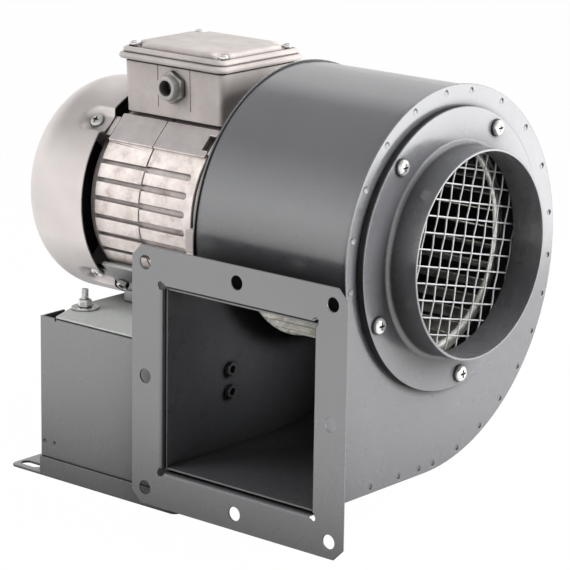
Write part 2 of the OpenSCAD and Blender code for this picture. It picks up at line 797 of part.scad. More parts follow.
module seat_places() for (c = corners) on_pad(c, x_cowl - cowl_screw_x, pad_shift, 0) children();

// Arc-shaped vents in the cowl's rear face
module cowl_vents() difference() {
    for (i = [0 : vent_rows - 1]) let (r = vent_r0 + i * vent_pitch)
        tube_x(x_cowl_rear - eps, cowl_t + 2 * eps, r + vent_w, r);
    for (k = [0 : vent_spokes / 2 - 1]) rotate([k * 360 / vent_spokes, 0, 0])
        translate([x_cowl_rear - 2 * eps, -cowl_d / 2, -spoke_w / 2])
            cube([cowl_t + 4 * eps, cowl_d, spoke_w]);
}

// Fan cowl: a thin dome, pressed in to four flat screw seats that run out at its open edge
module fan_cowl() color(cowl_silver) difference() {
    union() {
        difference() {
            turned() difference() {
                cowl_section(0);
                cowl_section(cowl_t);
            }
            seat_places() seat_space(cowl_t / 2, seat_dist - cowl_t / 2);
        }
        intersection() {
            turned() cowl_section(0);
            seat_places() difference() {
                seat_space(cowl_t, seat_dist - cowl_t);
                seat_space(0, seat_dist);
            }
        }
    }
    cowl_screw_places() translate([0, 0, -cowl_t - eps])
        cylinder(h = cowl_t + 2 * eps, d = m5[0] + 2 * bolt_clear);
    cowl_vents();
}

module cowl_screws() color(zinc) cowl_screw_places() screw(m5, tap_depth - tap_room);

// Terminal box: open tray with screw bosses in its corners
module terminal_box() color(box_grey) difference() {
    translate([x_box, 0, box_seat]) linear_extrude(box_h) rounded(box_l, box_w, box_corner);
    translate([x_box, 0, box_seat + box_wall]) linear_extrude(box_h) difference() {
        rounded(box_l - 2 * box_wall, box_w - 2 * box_wall, box_corner - box_wall);
        for (sx = [-1, 1], sy = [-1, 1]) translate([sx * lid_screw_x / 2, sy * lid_screw_y / 2]) {
            circle(boss_r);
            mirror([sx > 0 ? 0 : 1, 0]) translate([0, -boss_r]) square([box_corner, 2 * boss_r]);
            mirror([0, sy > 0 ? 0 : 1]) translate([-boss_r, 0]) square([2 * boss_r, box_corner + 1]);
        }
    }
    lid_screw_places() translate([0, 0, -tap_depth])
        cylinder(h = tap_depth + eps, d = m4[0] + 2 * thread_clear);
    translate([x_box + gland_shift, -box_w / 2 - eps, gland_z]) rotate([-90, 0, 0])
        cylinder(h = box_wall + 2 * eps, d = gland_thread + 2 * thread_clear);
    for (sx = [-1, 1]) translate([x_box + gland_shift + sx * box_line[2], -box_w / 2, box_seat + box_h])
        cylinder(h = 2 * box_line[1], r = box_line[0], center = true);
    translate([x_box, 0, box_seat - eps]) cylinder(h = box_wall + 2 * eps, d = wire_hole_d);
    box_screw_places() translate([0, 0, -eps]) cylinder(h = box_wall + 2 * eps, d = m4[0] + 2 * bolt_clear);
}

module lid_gasket() color(black_rubber) difference() {
    translate([x_box, 0, box_seat + box_h]) linear_extrude(lid_gasket_t) difference() {
        rounded(box_l, box_w, box_corner);
        rounded(box_l - lid_hollow[0], box_w - lid_hollow[1], box_corner);
    }
    lid_screw_places() translate([0, 0, -eps])
        cylinder(h = lid_gasket_t + 2 * eps, d = m4[0] + 2 * bolt_clear);
}

// Lid: rim, step and a raised panel that is notched round the screws
module terminal_box_lid() color(box_grey) difference() {
    translate([x_box, 0, z_lid]) {
        linear_extrude(lid_rim_h) rounded(box_l + 2 * lid_over, box_w + 2 * lid_over, lid_corner);
        linear_extrude(lid_rim_h + lid_step_h) rounded(box_l, box_w, box_corner);
        linear_extrude(lid_rim_h + lid_step_h + lid_panel_h) difference() {
            rounded(box_l - 2 * lid_panel_in, box_w - 2 * lid_panel_in, box_corner);
            for (sx = [-1, 1], sy = [-1, 1]) translate([sx * box_l / 2, sy * box_w / 2])
                square(lid_notch, center = true);
        }
    }
    translate([x_box, 0, z_lid - eps]) linear_extrude(lid_rim_h + eps)
        rounded(box_l - lid_hollow[0], box_w - lid_hollow[1], box_corner);
    lid_screw_places() translate([0, 0, lid_gasket_t - eps])
        cylinder(h = lid_rim_h + lid_step_h + 2 * eps, d = m4[0] + 2 * bolt_clear);
}

module lid_screws() color(zinc) lid_screw_places() translate([0, 0, lid_gasket_t + lid_rim_h + lid_step_h])
    screw(m4, lid_gasket_t + lid_rim_h + lid_step_h + tap_depth - tap_room);

module box_screws() color(zinc) box_screw_places() translate([0, 0, box_wall])
    screw(m4, box_wall + stud_tap - tap_room);

module board_stud_places() for (i = [-1 : 1], sx = [-1, 1])
    translate([x_box + board_x + sx * stud_row / 2, i * stud_pitch, box_seat + box_wall + board[2]])
        children();

module terminal_board() color(dark_plastic) difference() {
    translate([x_box + board_x - board[0] / 2, -board[1] / 2, box_seat + box_wall]) cube(board);
    board_stud_places() translate([0, 0, -stud_tap])
        cylinder(h = stud_tap + eps, d = m4[0] + 2 * thread_clear);
}

module terminal_studs() color(brass) board_stud_places() {
    translate([0, 0, -stud_tap]) cylinder(h = stud_len, d = m4[0]);
    cylinder(h = m4[2], d = m4[1], $fn = 6);
}

module cable_gland() color(box_grey) translate([x_box + gland_shift, -box_w / 2, gland_z]) rotate([90, 0, 0])
    difference() {
        union() {
            rotate(30) cylinder(h = gland_out, d = gland_af / cos(30), $fn = 6);
            translate([0, 0, -box_wall - gland_tail])
                cylinder(h = box_wall + gland_tail + eps, d = gland_thread);
        }
        translate([0, 0, -big / 2]) cylinder(h = big, d = gland_bore);
    }

module gland_locknut() color(zinc)
    translate([x_box + gland_shift, box_wall - box_w / 2, gland_z]) rotate([-90, 0, 0])
        collar(locknut[1], locknut[0] / cos(30), gland_thread + 2 * thread_clear, 6);

// Arm of the foot in Y-Z, lying along the pad
module foot_arm_section() polygon([
    pad_point(foot_arm[0], 0), pad_point(foot_arm[0], foot_t),
    pad_point(foot_arm[1], foot_t), pad_point(foot_arm[1], 0)]);

// Web that rounds out the corner under the arm, lapped into the arm and the toe
module foot_web_section() {
    arm_end = pad_point(foot_arm[1], foot_t);
    z_toe = z_plate + foot_base_t;
    corner = [arm_end[0] + arm_end[1] - z_toe, z_toe];
    tangent = foot_web_r / tan(22.5);
    on_toe = corner - [tangent, 0];
    on_arm = corner + tangent * sqrt(0.5) * [-1, 1];
    difference() {
        polygon([on_toe, on_toe - [0, web_lap], corner + web_lap * [1, -1],
            on_arm + web_lap * [1, 1], on_arm]);
        translate(on_toe + [0, foot_web_r]) circle(foot_web_r);
    }
}

// Motor foot: an arm bolted to the frame's pad at its ends, and a toe on the motor plate in the middle
module foot(side) difference() {
    mirror([0, side < 0 ? 0 : 1, 0]) {
        along_x(x_foot - foot_l / 2, foot_l) foot_arm_section();
        along_x(x_foot - foot_base_l / 2, foot_base_l) foot_web_section();
        translate([x_foot - foot_base_l / 2, -foot_hole_y / 2 - foot_toe, z_plate])
            cube([foot_base_l, foot_hole_y / 2 + foot_toe - foot_heel, foot_base_t]);
    }
    foot_bolt_places() translate([0, 0, -foot_t - eps])
        cylinder(h = foot_t + 2 * eps, d = m6_hex[0] + 2 * bolt_clear);
    foot_base_places() translate([0, 0, -eps])
        cylinder(h = foot_base_t - tap_room + eps, d = m8_hex[0] + 2 * thread_clear);
}

module front_foot() color(raw_cast) foot(-1);
module rear_foot() color(raw_cast) foot(1);

module foot_pad_bolts() color(zinc) foot_bolt_places() screw(m6_hex, foot_t + tap_depth - tap_room, 6);

// Bolts from under the motor plate, tapped into the toes of the feet
module foot_base_bolts() color(zinc) foot_base_places() translate([0, 0, -sheet_t])
    mirror([0, 0, 1]) screw(m8_hex, sheet_t + foot_base_t - 2 * tap_room, 6);

// Outline of the motor plate in X-Y, with its two free corners cut off
module plate_outline() polygon([
    [x_back, -panel_y], [x_back, panel_y],
    [x_pedestal + stud_in, panel_y], [x_cowl + plate_gap, panel_y - plate_cut],
    [x_cowl + plate_gap, plate_cut - panel_y], [x_pedestal + stud_in, -panel_y]]);

// Motor plate: a flat sheet on the top flanges of the two panels
module motor_plate() color(painted) difference() {
    translate([0, 0, z_plate - sheet_t]) linear_extrude(sheet_t) plate_outline();
    foot_base_places() translate([0, 0, -sheet_t - eps])
        cylinder(h = sheet_t + 2 * eps, d = m8_hex[0] + 2 * bolt_clear);
    stud_places() translate([0, 0, -sheet_t - eps])
        cylinder(h = sheet_t + 2 * eps, d = m6_hex[0] + 2 * bolt_clear);
}

// Bend of the panel in Y-Z, from its face over into its top flange, lapped into both
module panel_bend_section() translate([panel_bend_r - panel_y, z_plate - sheet_t - panel_bend_r]) {
    intersection() {
        difference() {
            circle(panel_bend_r);
            circle(panel_bend_r - sheet_t);
        }
        translate([-panel_bend_r, 0]) square(panel_bend_r);
    }
    translate([-panel_bend_r, -web_lap]) square([sheet_t, web_lap]);
    translate([0, panel_bend_r - sheet_t]) square([web_lap, sheet_t]);
}

// Top flange of the panel in X-Y, following the outline of the motor plate
module panel_flange_outline() intersection() {
    plate_outline();
    translate([x_pedestal, panel_bend_r - panel_y]) square([panel_l, panel_flange - panel_bend_r]);
}

// Pedestal panel: face bent over into a flange under the motor plate, with a narrow return at its free end
// and a deep return against the scroll
module panel(side) difference() {
    z0 = sheet_t - base_h;
    face_h = z_plate - sheet_t - panel_bend_r - z0;
    end_h = z_plate - sheet_t - fold_clear - z0;
    return_h = z_plate - return_drop - z0;
    mirror([0, side < 0 ? 0 : 1, 0]) difference() {
        union() {
            translate([x_pedestal, -panel_y, z0]) cube([panel_l, sheet_t, face_h]);
            translate([x_pedestal, -panel_y, z0]) cube([stud_in - plate_gap, sheet_t, end_h]);
            translate([x_pedestal, -panel_y, z0]) cube([sheet_t, return_w, end_h]);
            translate([x_back - sheet_t, -panel_y, z0]) cube([sheet_t, scroll_return_w, return_h]);
            along_x(x_pedestal + stud_in, panel_l - stud_in) panel_bend_section();
            translate([0, 0, z_plate - 2 * sheet_t]) linear_extrude(sheet_t) panel_flange_outline();
        }
        for (x = dimple_x) translate([x_pedestal + x, -panel_y - dimple_r / 2, dimple_z - base_h])
            sphere(dimple_r);
    }
    pedestal_bolt_places() rod_x(x_back - sheet_t - eps, sheet_t + 2 * eps, m6_hex[0] / 2 + bolt_clear);
    stud_places() translate([0, 0, -2 * sheet_t - eps])
        cylinder(h = sheet_t + 2 * eps, d = m6_hex[0] + 2 * bolt_clear);
}

module pedestal_front_panel() color(painted) panel(-1);
module pedestal_rear_panel() color(painted) panel(1);

// Bolts from inside the scroll into the pedestal, with their nuts
module pedestal_bolts() color(zinc) pedestal_bolt_places() {
    translate([x_back + plate_t, 0, 0]) facing_x() screw(m6_hex, plate_t + sheet_t + tap_depth, 6);
    translate([x_back - sheet_t - nut_h, 0, 0]) facing_x()
        collar(nut_h, m6_hex[1], m6_hex[0] + 2 * thread_clear, 6);
}

// Base rail: web on the outside of the panel, flange on the floor, slotted tab beyond the pedestal
module rail(side) mirror([0, side < 0 ? 0 : 1, 0]) difference() {
    flange_l = panel_l + tab_l - rail_end;
    union() {
        translate([x_pedestal, -panel_y - sheet_t, -base_h])
            cube([panel_l - rail_end - rail_corner, sheet_t, rail_h]);
        translate([x_pedestal - tab_l + flange_l / 2, rail_w / 2 - panel_y - sheet_t, -base_h])
            linear_extrude(sheet_t) rounded(flange_l, rail_w, rail_corner);
    }
    for (x = [0, slot_x]) translate([x_slot + x, slot_in - panel_y - sheet_t, -base_h - eps])
        linear_extrude(sheet_t + 2 * eps) slot(slot_l, slot_w);
}

module front_base_rail() color(painted) rail(-1);
module rear_base_rail() color(painted) rail(1);

module plate_studs() color(zinc) stud_places() translate([0, 0, -2 * sheet_t - stud_head[1]]) {
    cylinder(h = 2 * sheet_t + stud_head[1] + stud_up, d = m6_hex[0]);
    cylinder(h = stud_head[1], d = stud_head[0], $fn = 6);
}

module plate_stud_washers() color(zinc) stud_places()
    collar(stud_washer[1], stud_washer[0], m6_hex[0] + 2 * bolt_clear);

module plate_stud_nuts() color(zinc) stud_places() translate([0, 0, stud_washer[1]])
    collar(stud_nut[1], stud_nut[0], m6_hex[0] + 2 * thread_clear, 6);

// Shaft: impeller end, bearing seats, shoulder under the rotor and a thin tail for the cooling fan
module shaft() color(steel) difference() {
    union() {
        rod_x(x_shaft_step, x_shaft_end - x_shaft_step, shaft_d / 2);
        rod_x(x_bearing_fan - bearing_w, x_shaft_step - x_bearing_fan + bearing_w, bearing_bore / 2);
        rod_x(x_bearing_fan, x_bearing_drive - bearing_w - x_bearing_fan, bearing_bore / 2 + shoulder);
        rod_x(x_shaft_tail, x_bearing_fan - bearing_w - x_shaft_tail, tail_d / 2);
    }
    key_space();
    rod_x(x_shaft_end - 2 * tap_depth, 2 * tap_depth + eps, m6_hex[0] / 2 + thread_clear);
    tube_x(x_clip, clip_t, tail_d / 2 + eps, tail_d / 2 - clip_groove);
}

module key_space() translate([x_disc - hub_flange_t, -key_w / 2, (shaft_d - key_w) / 2])
    cube([key_l, key_w, key_w]);

module shaft_key() color(steel) key_space();

module rotor_core() color(steel)
    tube_x(x_stator, stator_len, rotor_d / 2, bearing_bore / 2 + shoulder + press_clear);

// Cooling fan: hub on the shaft tail, straight blades and a back plate
module cooling_fan() color(dark_plastic) difference() {
    union() {
        rod_x(x_fan, fan_l, fan_hub_r);
        rod_x(x_fan + fan_l - fan_plate_t, fan_plate_t, fan_d / 2 - fan_plate_in);
        for (i = [0 : fan_blade_n - 1]) rotate([i * 360 / fan_blade_n, 0, 0])
            translate([x_fan + seat_l, 0, -fan_blade_t / 2]) cube([fan_l - seat_l, fan_d / 2, fan_blade_t]);
    }
    rod_x(x_fan - eps, fan_l + 2 * eps, tail_d / 2 + press_clear);
}

module fan_clip() color(steel) difference() {
    tube_x(x_clip, clip_t, tail_d / 2 + clip_w, tail_d / 2 - clip_groove);
    translate([x_clip - eps, 0, -clip_w]) cube([clip_t + 2 * eps, tail_d, 2 * clip_w]);
}

module rivet_places() round_shaft(rivet_n, (hub_d + hub_flange_d) / 4) children();

module impeller_hub() color(steel) difference() {
    union() {
        rod_x(x_disc - hub_back, hub_back + hub_len, hub_d / 2);
        rod_x(x_disc - hub_flange_t, hub_flange_t, hub_flange_d / 2);
    }
    rod_x(x_disc - hub_back - eps, hub_back + hub_len + 2 * eps, shaft_d / 2 + press_clear);
    key_space();
    translate([hub_len, 0, 0]) key_space();
    rivet_places() rod_x(x_disc - hub_flange_t - eps, hub_flange_t + 2 * eps, rivet_d / 2 + thread_clear);
}

module impeller_back_disc() color(galvanised) difference() {
    tube_x(x_disc, disc_t, wheel_od / 2, hub_d / 2 + press_clear);
    rivet_places() rod_x(x_disc - eps, disc_t + 2 * eps, rivet_d / 2 + thread_clear);
}

// Forward-curved blade: a thin arc that starts radially and leans into the rotation at its tip
module blade() along_x(x_disc + disc_t, blade_len) {
    r_in = wheel_od / 2 - blade_depth;
    intersection() {
        translate([r_in, -blade_r]) difference() {
            circle(blade_r + blade_t / 2);
            circle(blade_r - blade_t / 2);
        }
        translate([r_in, -blade_r]) square([blade_depth - disc_t, 2 * blade_r]);
    }
}

module impeller_blades() color(galvanised)
    for (i = [0 : blade_n - 1]) rotate([i * 360 / blade_n, 0, 0]) blade();

// Front ring: a flat ring on the blade ends, with a rounded bead round its inner edge
module impeller_front_ring() color(galvanised) turned() {
    r_in = wheel_od / 2 - blade_depth + ring_lap;
    translate([r_in, x_wheel - disc_t]) square([wheel_od / 2 - r_in, disc_t]);
    translate([r_in + bead_r, x_wheel - disc_t]) intersection() {
        circle(bead_r);
        translate([-bead_r, 0]) square([2 * bead_r, bead_r]);
    }
}

module impeller_rivets() color(zinc) rivet_places() {
    rod_x(x_disc - hub_flange_t, hub_flange_t + disc_t, rivet_d / 2);
    rod_x(x_disc + disc_t, rivet_head, rivet_d);
    rod_x(x_disc - hub_flange_t - rivet_head, rivet_head, rivet_d);
}

// End bolt with its large washer, which holds the hub on the shaft
module impeller_end_bolt() color(zinc) translate([x_disc + hub_len, 0, 0]) {
    translate([end_washer_t, 0, 0]) facing_x() screw(m6_hex, 2 * tap_depth - tap_room, 6);
    rod_x(0, end_washer_t, hub_d / 2 - seat_l);
}

scroll_band();
inlet_side_plate();
motor_side_plate();
outlet_flange();
inlet_ring();
inlet_gasket();
guard_upright_wires();
guard_cross_wires();
inlet_screws();
inlet_screw_washers();
motor_frame();
drive_end_shield();
fan_end_shield();
shield_bolts();
motor_face_bolts();
stator_core();
stator_windings();
drive_bearing_outer_ring();
fan_bearing_outer_ring();
wave_washer();
shaft_seal();
fan_cowl();
cowl_screws();
terminal_box();
terminal_box_lid();
lid_gasket();
lid_screws();
box_screws();
terminal_board();
terminal_studs();
cable_gland();
gland_locknut();
front_foot();
rear_foot();
foot_pad_bolts();
foot_base_bolts();
motor_plate();
pedestal_front_panel();
pedestal_rear_panel();
front_base_rail();
rear_base_rail();
plate_studs();
plate_stud_nuts();
plate_stud_washers();
pedestal_bolts();
shaft();
rotor_core();
drive_bearing_inner_ring();
fan_bearing_inner_ring();
cooling_fan();
fan_clip();
impeller_hub();
impeller_back_disc();
impeller_blades();
impeller_front_ring();
impeller_rivets();
shaft_key();
impeller_end_bolt();
drive_bearing_balls();
fan_bearing_balls();
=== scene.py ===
import json
import math
import bpy
import bmesh
from mathutils import Matrix, Vector


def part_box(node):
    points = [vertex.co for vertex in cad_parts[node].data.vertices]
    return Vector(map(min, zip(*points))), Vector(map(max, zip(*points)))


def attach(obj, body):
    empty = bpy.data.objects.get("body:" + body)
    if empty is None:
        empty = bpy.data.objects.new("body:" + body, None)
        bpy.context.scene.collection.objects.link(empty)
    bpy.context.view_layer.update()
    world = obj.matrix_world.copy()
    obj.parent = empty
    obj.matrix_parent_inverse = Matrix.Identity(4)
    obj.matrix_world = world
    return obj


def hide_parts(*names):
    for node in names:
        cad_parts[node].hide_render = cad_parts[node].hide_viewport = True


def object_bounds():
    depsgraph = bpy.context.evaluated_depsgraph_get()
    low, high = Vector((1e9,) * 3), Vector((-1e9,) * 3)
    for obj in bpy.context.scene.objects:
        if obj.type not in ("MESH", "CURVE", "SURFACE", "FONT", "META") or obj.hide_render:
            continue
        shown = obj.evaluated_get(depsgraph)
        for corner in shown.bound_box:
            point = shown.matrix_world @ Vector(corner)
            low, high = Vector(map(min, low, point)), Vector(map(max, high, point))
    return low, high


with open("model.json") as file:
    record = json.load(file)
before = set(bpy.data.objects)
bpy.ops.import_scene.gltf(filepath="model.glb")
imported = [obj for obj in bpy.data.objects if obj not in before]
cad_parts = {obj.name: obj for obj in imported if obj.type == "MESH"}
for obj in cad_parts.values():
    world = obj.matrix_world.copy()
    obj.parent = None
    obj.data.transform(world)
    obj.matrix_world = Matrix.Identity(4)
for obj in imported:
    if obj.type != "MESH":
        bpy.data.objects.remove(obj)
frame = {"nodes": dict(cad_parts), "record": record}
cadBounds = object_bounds()
nodes = frame["nodes"]
slotOf = {s["node"]: s["material_slot"] for s in frame["record"]["subparts"]}
scene = bpy.context.scene
scene.view_settings.view_transform = "Standard"
mm = 0.001
white = (1, 1, 1)
corners = ((1, 1), (-1, 1), (-1, -1), (1, -1))
print("frame loaded:", len(nodes), "nodes")


def linkNew(name, data):
    obj = bpy.data.objects.new(name, data)
    scene.collection.objects.link(obj)
    return obj


# camera, from a fit to the photograph
cameraView = {"place": (1.18603, -1.63407, 0.49511), "azimuth": 40.11, "elevation": 14.48,
              "roll": 0.87, "lens": 176.507, "sensor": 36.0, "far": 20}


def addCamera():
    az, el, ro = (math.radians(cameraView[k]) for k in ("azimuth", "elevation", "roll"))
    right = Vector((math.cos(az), math.sin(az), 0))
    back = Vector((math.sin(az) * math.cos(el), -math.cos(az) * math.cos(el), math.sin(el)))
    up = back.cross(right)
    side = right * math.cos(ro) + up * math.sin(ro)
    top = up * math.cos(ro) - right * math.sin(ro)
    data = bpy.data.cameras.new("photoCamera")
    data.lens = cameraView["lens"]
    data.sensor_width = cameraView["sensor"]
    data.clip_end = cameraView["far"]
    cam = linkNew("photoCamera", data)
    turn = Matrix((side, top, back)).transposed().to_4x4()
    cam.matrix_world = Matrix.Translation(cameraView["place"]) @ turn
    scene.camera = cam


addCamera()
print("camera set")


# node helpers: an input takes a link, a colour or a number
def feed(nt, value, socket):
    if hasattr(value, "node"):
        nt.links.new(value, socket)
    elif isinstance(value, tuple):
        socket.default_value = (*value, 1)
    else:
        socket.default_value = value


def addMath(nt, kind, *values):
    node = nt.nodes.new("ShaderNodeMath")
    node.operation = kind
    for value, socket in zip(values, node.inputs):
        feed(nt, value, socket)
    return node.outputs[0]


def addRange(nt, fac, low, high, fromLow=0.3, fromHigh=0.7):
    span = nt.nodes.new("ShaderNodeMapRange")
    for key, value in (("Value", fac), ("From Min", fromLow), ("From Max", fromHigh),
                       ("To Min", low), ("To Max", high)):
        feed(nt, value, span.inputs[key])
    return span.outputs["Result"]


# a mix node takes colours at sockets 6 and 7 and gives one at 2
def mixColours(nt, fac, a, b, kind="MIX"):
    mix = nt.nodes.new("ShaderNodeMix")
    mix.data_type = "RGBA"
    mix.blend_type = kind
    for key, value in ((0, fac), (6, a), (7, b)):
        feed(nt, value, mix.inputs[key])
    return mix.outputs[2]


def shadeColour(nt, colour, share):
    return mixColours(nt, 1.0, colour, share, "MULTIPLY")


def mixShaders(nt, fac, first, second, out):
    mix = nt.nodes.new("ShaderNodeMixShader")
    for key, link in enumerate((fac, first.outputs[0], second.outputs[0])):
        nt.links.new(link, mix.inputs[key])
    nt.links.new(mix.outputs[0], out.inputs[0])


# X, Y and Z of a place or a direction
def splitCoords(nt, kind):
    coords = nt.nodes.new("ShaderNodeTexCoord")
    parts = nt.nodes.new("ShaderNodeSeparateXYZ")
    nt.links.new(coords.outputs[kind], parts.inputs[0])
    return parts.outputs


# studio: white surround and floor, three soft lamps and a card behind
# each lamp: name, place, size, power, and whether it shows in reflections
studio = {"worldLight": 0.19, "roomLight": 0.36, "dimAbove": (0.25, 0.68), "dimFront": (0.25, 0.5),
          "centre": (-0.2, 0.0, -0.05),
          "lamps": [("topLamp", (-0.25, -0.25, 1.5), (1.5, 1.2), 10.0, False),
                    ("rightLamp", (0.70, 0.30, 0.40), (0.5, 0.6), 24.0, False),
                    ("leftLamp", (-1.1, -1.25, 0.75), (0.9, 1.1), 22.0, False),
                    ("backCard", (0.42, 0.52, 0.02), (0.62, 0.40), 1.3, True)],
          "floorSize": 6.0, "floorColour": (0.62, 0.62, 0.62), "floorGlow": 0.99}


# rays from the camera, straight or by way of a shiny or clear surface
def lightPathFac(nt):
    path = nt.nodes.new("ShaderNodeLightPath")
    total = path.outputs["Is Camera Ray"]
    for out in ("Is Glossy Ray", "Is Transmission Ray"):
        total = addMath(nt, "MAXIMUM", total, path.outputs[out])
    return total


# what shines in the paint: white low down and behind, dimmer overhead
def roomColour(nt):
    way = splitCoords(nt, "Generated")
    above = addRange(nt, way["Z"], 0.0, 1.0, *studio["dimAbove"])
    front = addRange(nt, way["Y"], 1.0, 0.0, *studio["dimFront"])
    dim = addMath(nt, "MULTIPLY", above, front)
    path = nt.nodes.new("ShaderNodeLightPath")
    room = mixColours(nt, dim, white, (studio["roomLight"],) * 3)
    return mixColours(nt, path.outputs["Is Camera Ray"], room, white)


def addWorld():
    world = bpy.data.worlds.new("studioWorld")
    scene.world = world
    world.use_nodes = True
    nt = world.node_tree
    nt.nodes.clear()
    out = nt.nodes.new("ShaderNodeOutputWorld")
    seen = nt.nodes.new("ShaderNodeBackground")
    feed(nt, roomColour(nt), seen.inputs["Color"])
    feed(nt, 1.0, seen.inputs["Strength"])
    fill = nt.nodes.new("ShaderNodeBackground")
    feed(nt, white, fill.inputs["Color"])
    feed(nt, studio["worldLight"], fill.inputs["Strength"])
    mixShaders(nt, lightPathFac(nt), fill, seen, out)


def addLamps():
    for name, place, size, power, shines in studio["lamps"]:
        data = bpy.data.lights.new(name, "AREA")
        data.shape = "RECTANGLE"
        data.size, data.size_y = size
        data.energy = power
        lamp = linkNew(name, data)
        lamp.visible_glossy = shines
        lamp.visible_camera = False
        aim = Vector(studio["centre"]) - Vector(place)
        turn = aim.to_track_quat("-Z", "Y").to_matrix().to_4x4()
        lamp.matrix_world = Matrix.Translation(place) @ turn


def addFloor():
    half, low = studio["floorSize"] / 2, cadBounds[0][2]
    mesh = bpy.data.meshes.new("floor")
    points = [(half * x, half * y, low) for x, y in corners]
    mesh.from_pydata(points, [], [(0, 1, 2, 3)])
    floor = linkNew("floor", mesh)
    mat = bpy.data.materials.new("floorPale")
    mat.use_nodes = True
    nt = mat.node_tree
    nt.nodes.clear()
    out = nt.nodes.new("ShaderNodeOutputMaterial")
    matt = nt.nodes.new("ShaderNodeBsdfDiffuse")
    feed(nt, studio["floorColour"], matt.inputs["Color"])
    glow = nt.nodes.new("ShaderNodeEmission")
    feed(nt, 1.0, glow.inputs["Strength"])
    fac = addMath(nt, "MULTIPLY", lightPathFac(nt), studio["floorGlow"])
    mixShaders(nt, fac, matt, glow, out)
    mesh.materials.append(mat)


addWorld()
addLamps()
addFloor()
print("studio lit")

raySamples = 6


# material helpers: every finish is noise on object coordinates, in metres
def startMaterial(name):
    mat = bpy.data.materials.new(name)
    mat.use_nodes = True
    nt = mat.node_tree
    bsdf = next(n for n in nt.nodes if n.type == "BSDF_PRINCIPLED")
    coords = nt.nodes.new("ShaderNodeTexCoord")
    return mat, nt, bsdf, coords.outputs["Object"]


def addNoise(nt, coords, scale, detail=3.0, rough=0.5, stretch=None):
    if stretch:
        mapping = nt.nodes.new("ShaderNodeMapping")
        mapping.inputs["Scale"].default_value = stretch
        nt.links.new(coords, mapping.inputs["Vector"])
        coords = mapping.outputs[0]
    tex = nt.nodes.new("ShaderNodeTexNoise")
    for key, value in (("Scale", scale), ("Detail", detail), ("Roughness", rough),
                       ("Vector", coords)):
        feed(nt, value, tex.inputs[key])
    return tex.outputs["Fac"]


def addRamp(nt, fac, stops):
    ramp = nt.nodes.new("ShaderNodeValToRGB")
    els = ramp.color_ramp.elements
    while len(els) < len(stops):
        els.new(0.5)
    for el, (pos, col) in zip(els, stops):
        el.position = pos
        el.color = (*col, 1)
    nt.links.new(fac, ramp.inputs["Fac"])
    return ramp.outputs["Color"]


def addBlend(nt, fac, dark, light, first=0.3, last=0.7):
    return addRamp(nt, fac, [(first, dark), (last, light)])


# soft edges, then rows of (height, strength, depth)
def addBump(nt, bsdf, heights, bevel):
    edge = nt.nodes.new("ShaderNodeBevel")
    edge.samples = raySamples
    feed(nt, bevel, edge.inputs["Radius"])
    normal = edge.outputs[0]
    for height, strength, depth in heights:
        bump = nt.nodes.new("ShaderNodeBump")
        for key, value in (("Strength", strength), ("Distance", depth), ("Height", height),
                           ("Normal", normal)):
            feed(nt, value, bump.inputs[key])
        normal = bump.outputs[0]
    nt.links.new(normal, bsdf.inputs["Normal"])


def setSurface(nt, bsdf, colour, rough, metal=0.0):
    for key, value in (("Base Color", colour), ("Roughness", rough), ("Metallic", metal)):
        feed(nt, value, bsdf.inputs[key])


# how open a place is, from low in corners and inside to high in the clear
def addOpen(nt, reach, low, high, closed=0.30, clear=0.82):
    near = nt.nodes.new("ShaderNodeAmbientOcclusion")
    near.samples = raySamples
    feed(nt, reach, near.inputs["Distance"])
    return addRange(nt, near.outputs["AO"], low, high, closed, clear)


# painted shade gathered where faces meet and inside hollows, in rows of (reach, darkest)
def addCreviceShade(nt, colour, creviceShade):
    for reach, darkest in creviceShade:
        colour = shadeColour(nt, colour, addOpen(nt, reach, darkest, 1.0))
    return colour


# noise is (scale, detail, roughness); inside hollows the gloss is turned down as painted shade, and
# the paint blurs more
paintLook = {"cloud": (9.0, 4.0), "stops": (0.32, 0.68), "mottle": (420.0, 3.0),
             "mottleRange": (0.93, 1.07), "rough": (60.0, 4.0), "peel": (260.0, 2.0),
             "peelDeep": 0.0004,
             "insideGlossShade": (0.02, 0.5, 0.40, 0.86), "insideRough": (0.35, 0.0, 0.40, 0.80)}


def paintFinish(name, dark, light, rough, peel, bevel, creviceShade, gloss=1.5, shadeGlossInside=None):
    mat, nt, bsdf, coords = startMaterial(name)
    cloud = addNoise(nt, coords, *paintLook["cloud"])
    colour = addBlend(nt, cloud, dark, light, *paintLook["stops"])
    mottle = addRange(nt, addNoise(nt, coords, *paintLook["mottle"]), *paintLook["mottleRange"])
    colour = addCreviceShade(nt, shadeColour(nt, colour, mottle), creviceShade)
    blur = addRange(nt, addNoise(nt, coords, *paintLook["rough"]), *rough)
    skin = addNoise(nt, coords, *paintLook["peel"])
    addBump(nt, bsdf, [(skin, peel, paintLook["peelDeep"])], bevel)
    feed(nt, gloss, bsdf.inputs["IOR"])
    # painted shade: inside hollows the paint's gloss is turned down so that it reflects less
    if shadeGlossInside:
        shine = addOpen(nt, shadeGlossInside, *paintLook["insideGlossShade"])
        feed(nt, shine, bsdf.inputs["Specular IOR Level"])
        blur = addMath(nt, "ADD", blur, addOpen(nt, shadeGlossInside, *paintLook["insideRough"]))
    setSurface(nt, bsdf, colour, blur)
    return mat


castLook = {"blotch": (6.0, 0.62), "speck": (420.0, 3.0, 0.6),
            "speckRange": (0.0, 0.35, 0.62, 0.75), "speckDark": 0.55,
            "padTurn": (0.485, 0.497), "rough": (90.0, 5.0),
            "coarse": (130.0, 5.0, 0.6), "coarseDeep": 0.0008,
            "fine": (900.0, 3.0), "fineDeep": 0.0002, "fineShare": 0.7}


# faces at 45 degrees round the shaft: the machined pads
def padMask(nt):
    way = splitCoords(nt, "Normal")
    both = addMath(nt, "MULTIPLY", way["Y"], way["Z"])
    return addRange(nt, addMath(nt, "ABSOLUTE", both), 0.0, 1.0, *castLook["padTurn"])


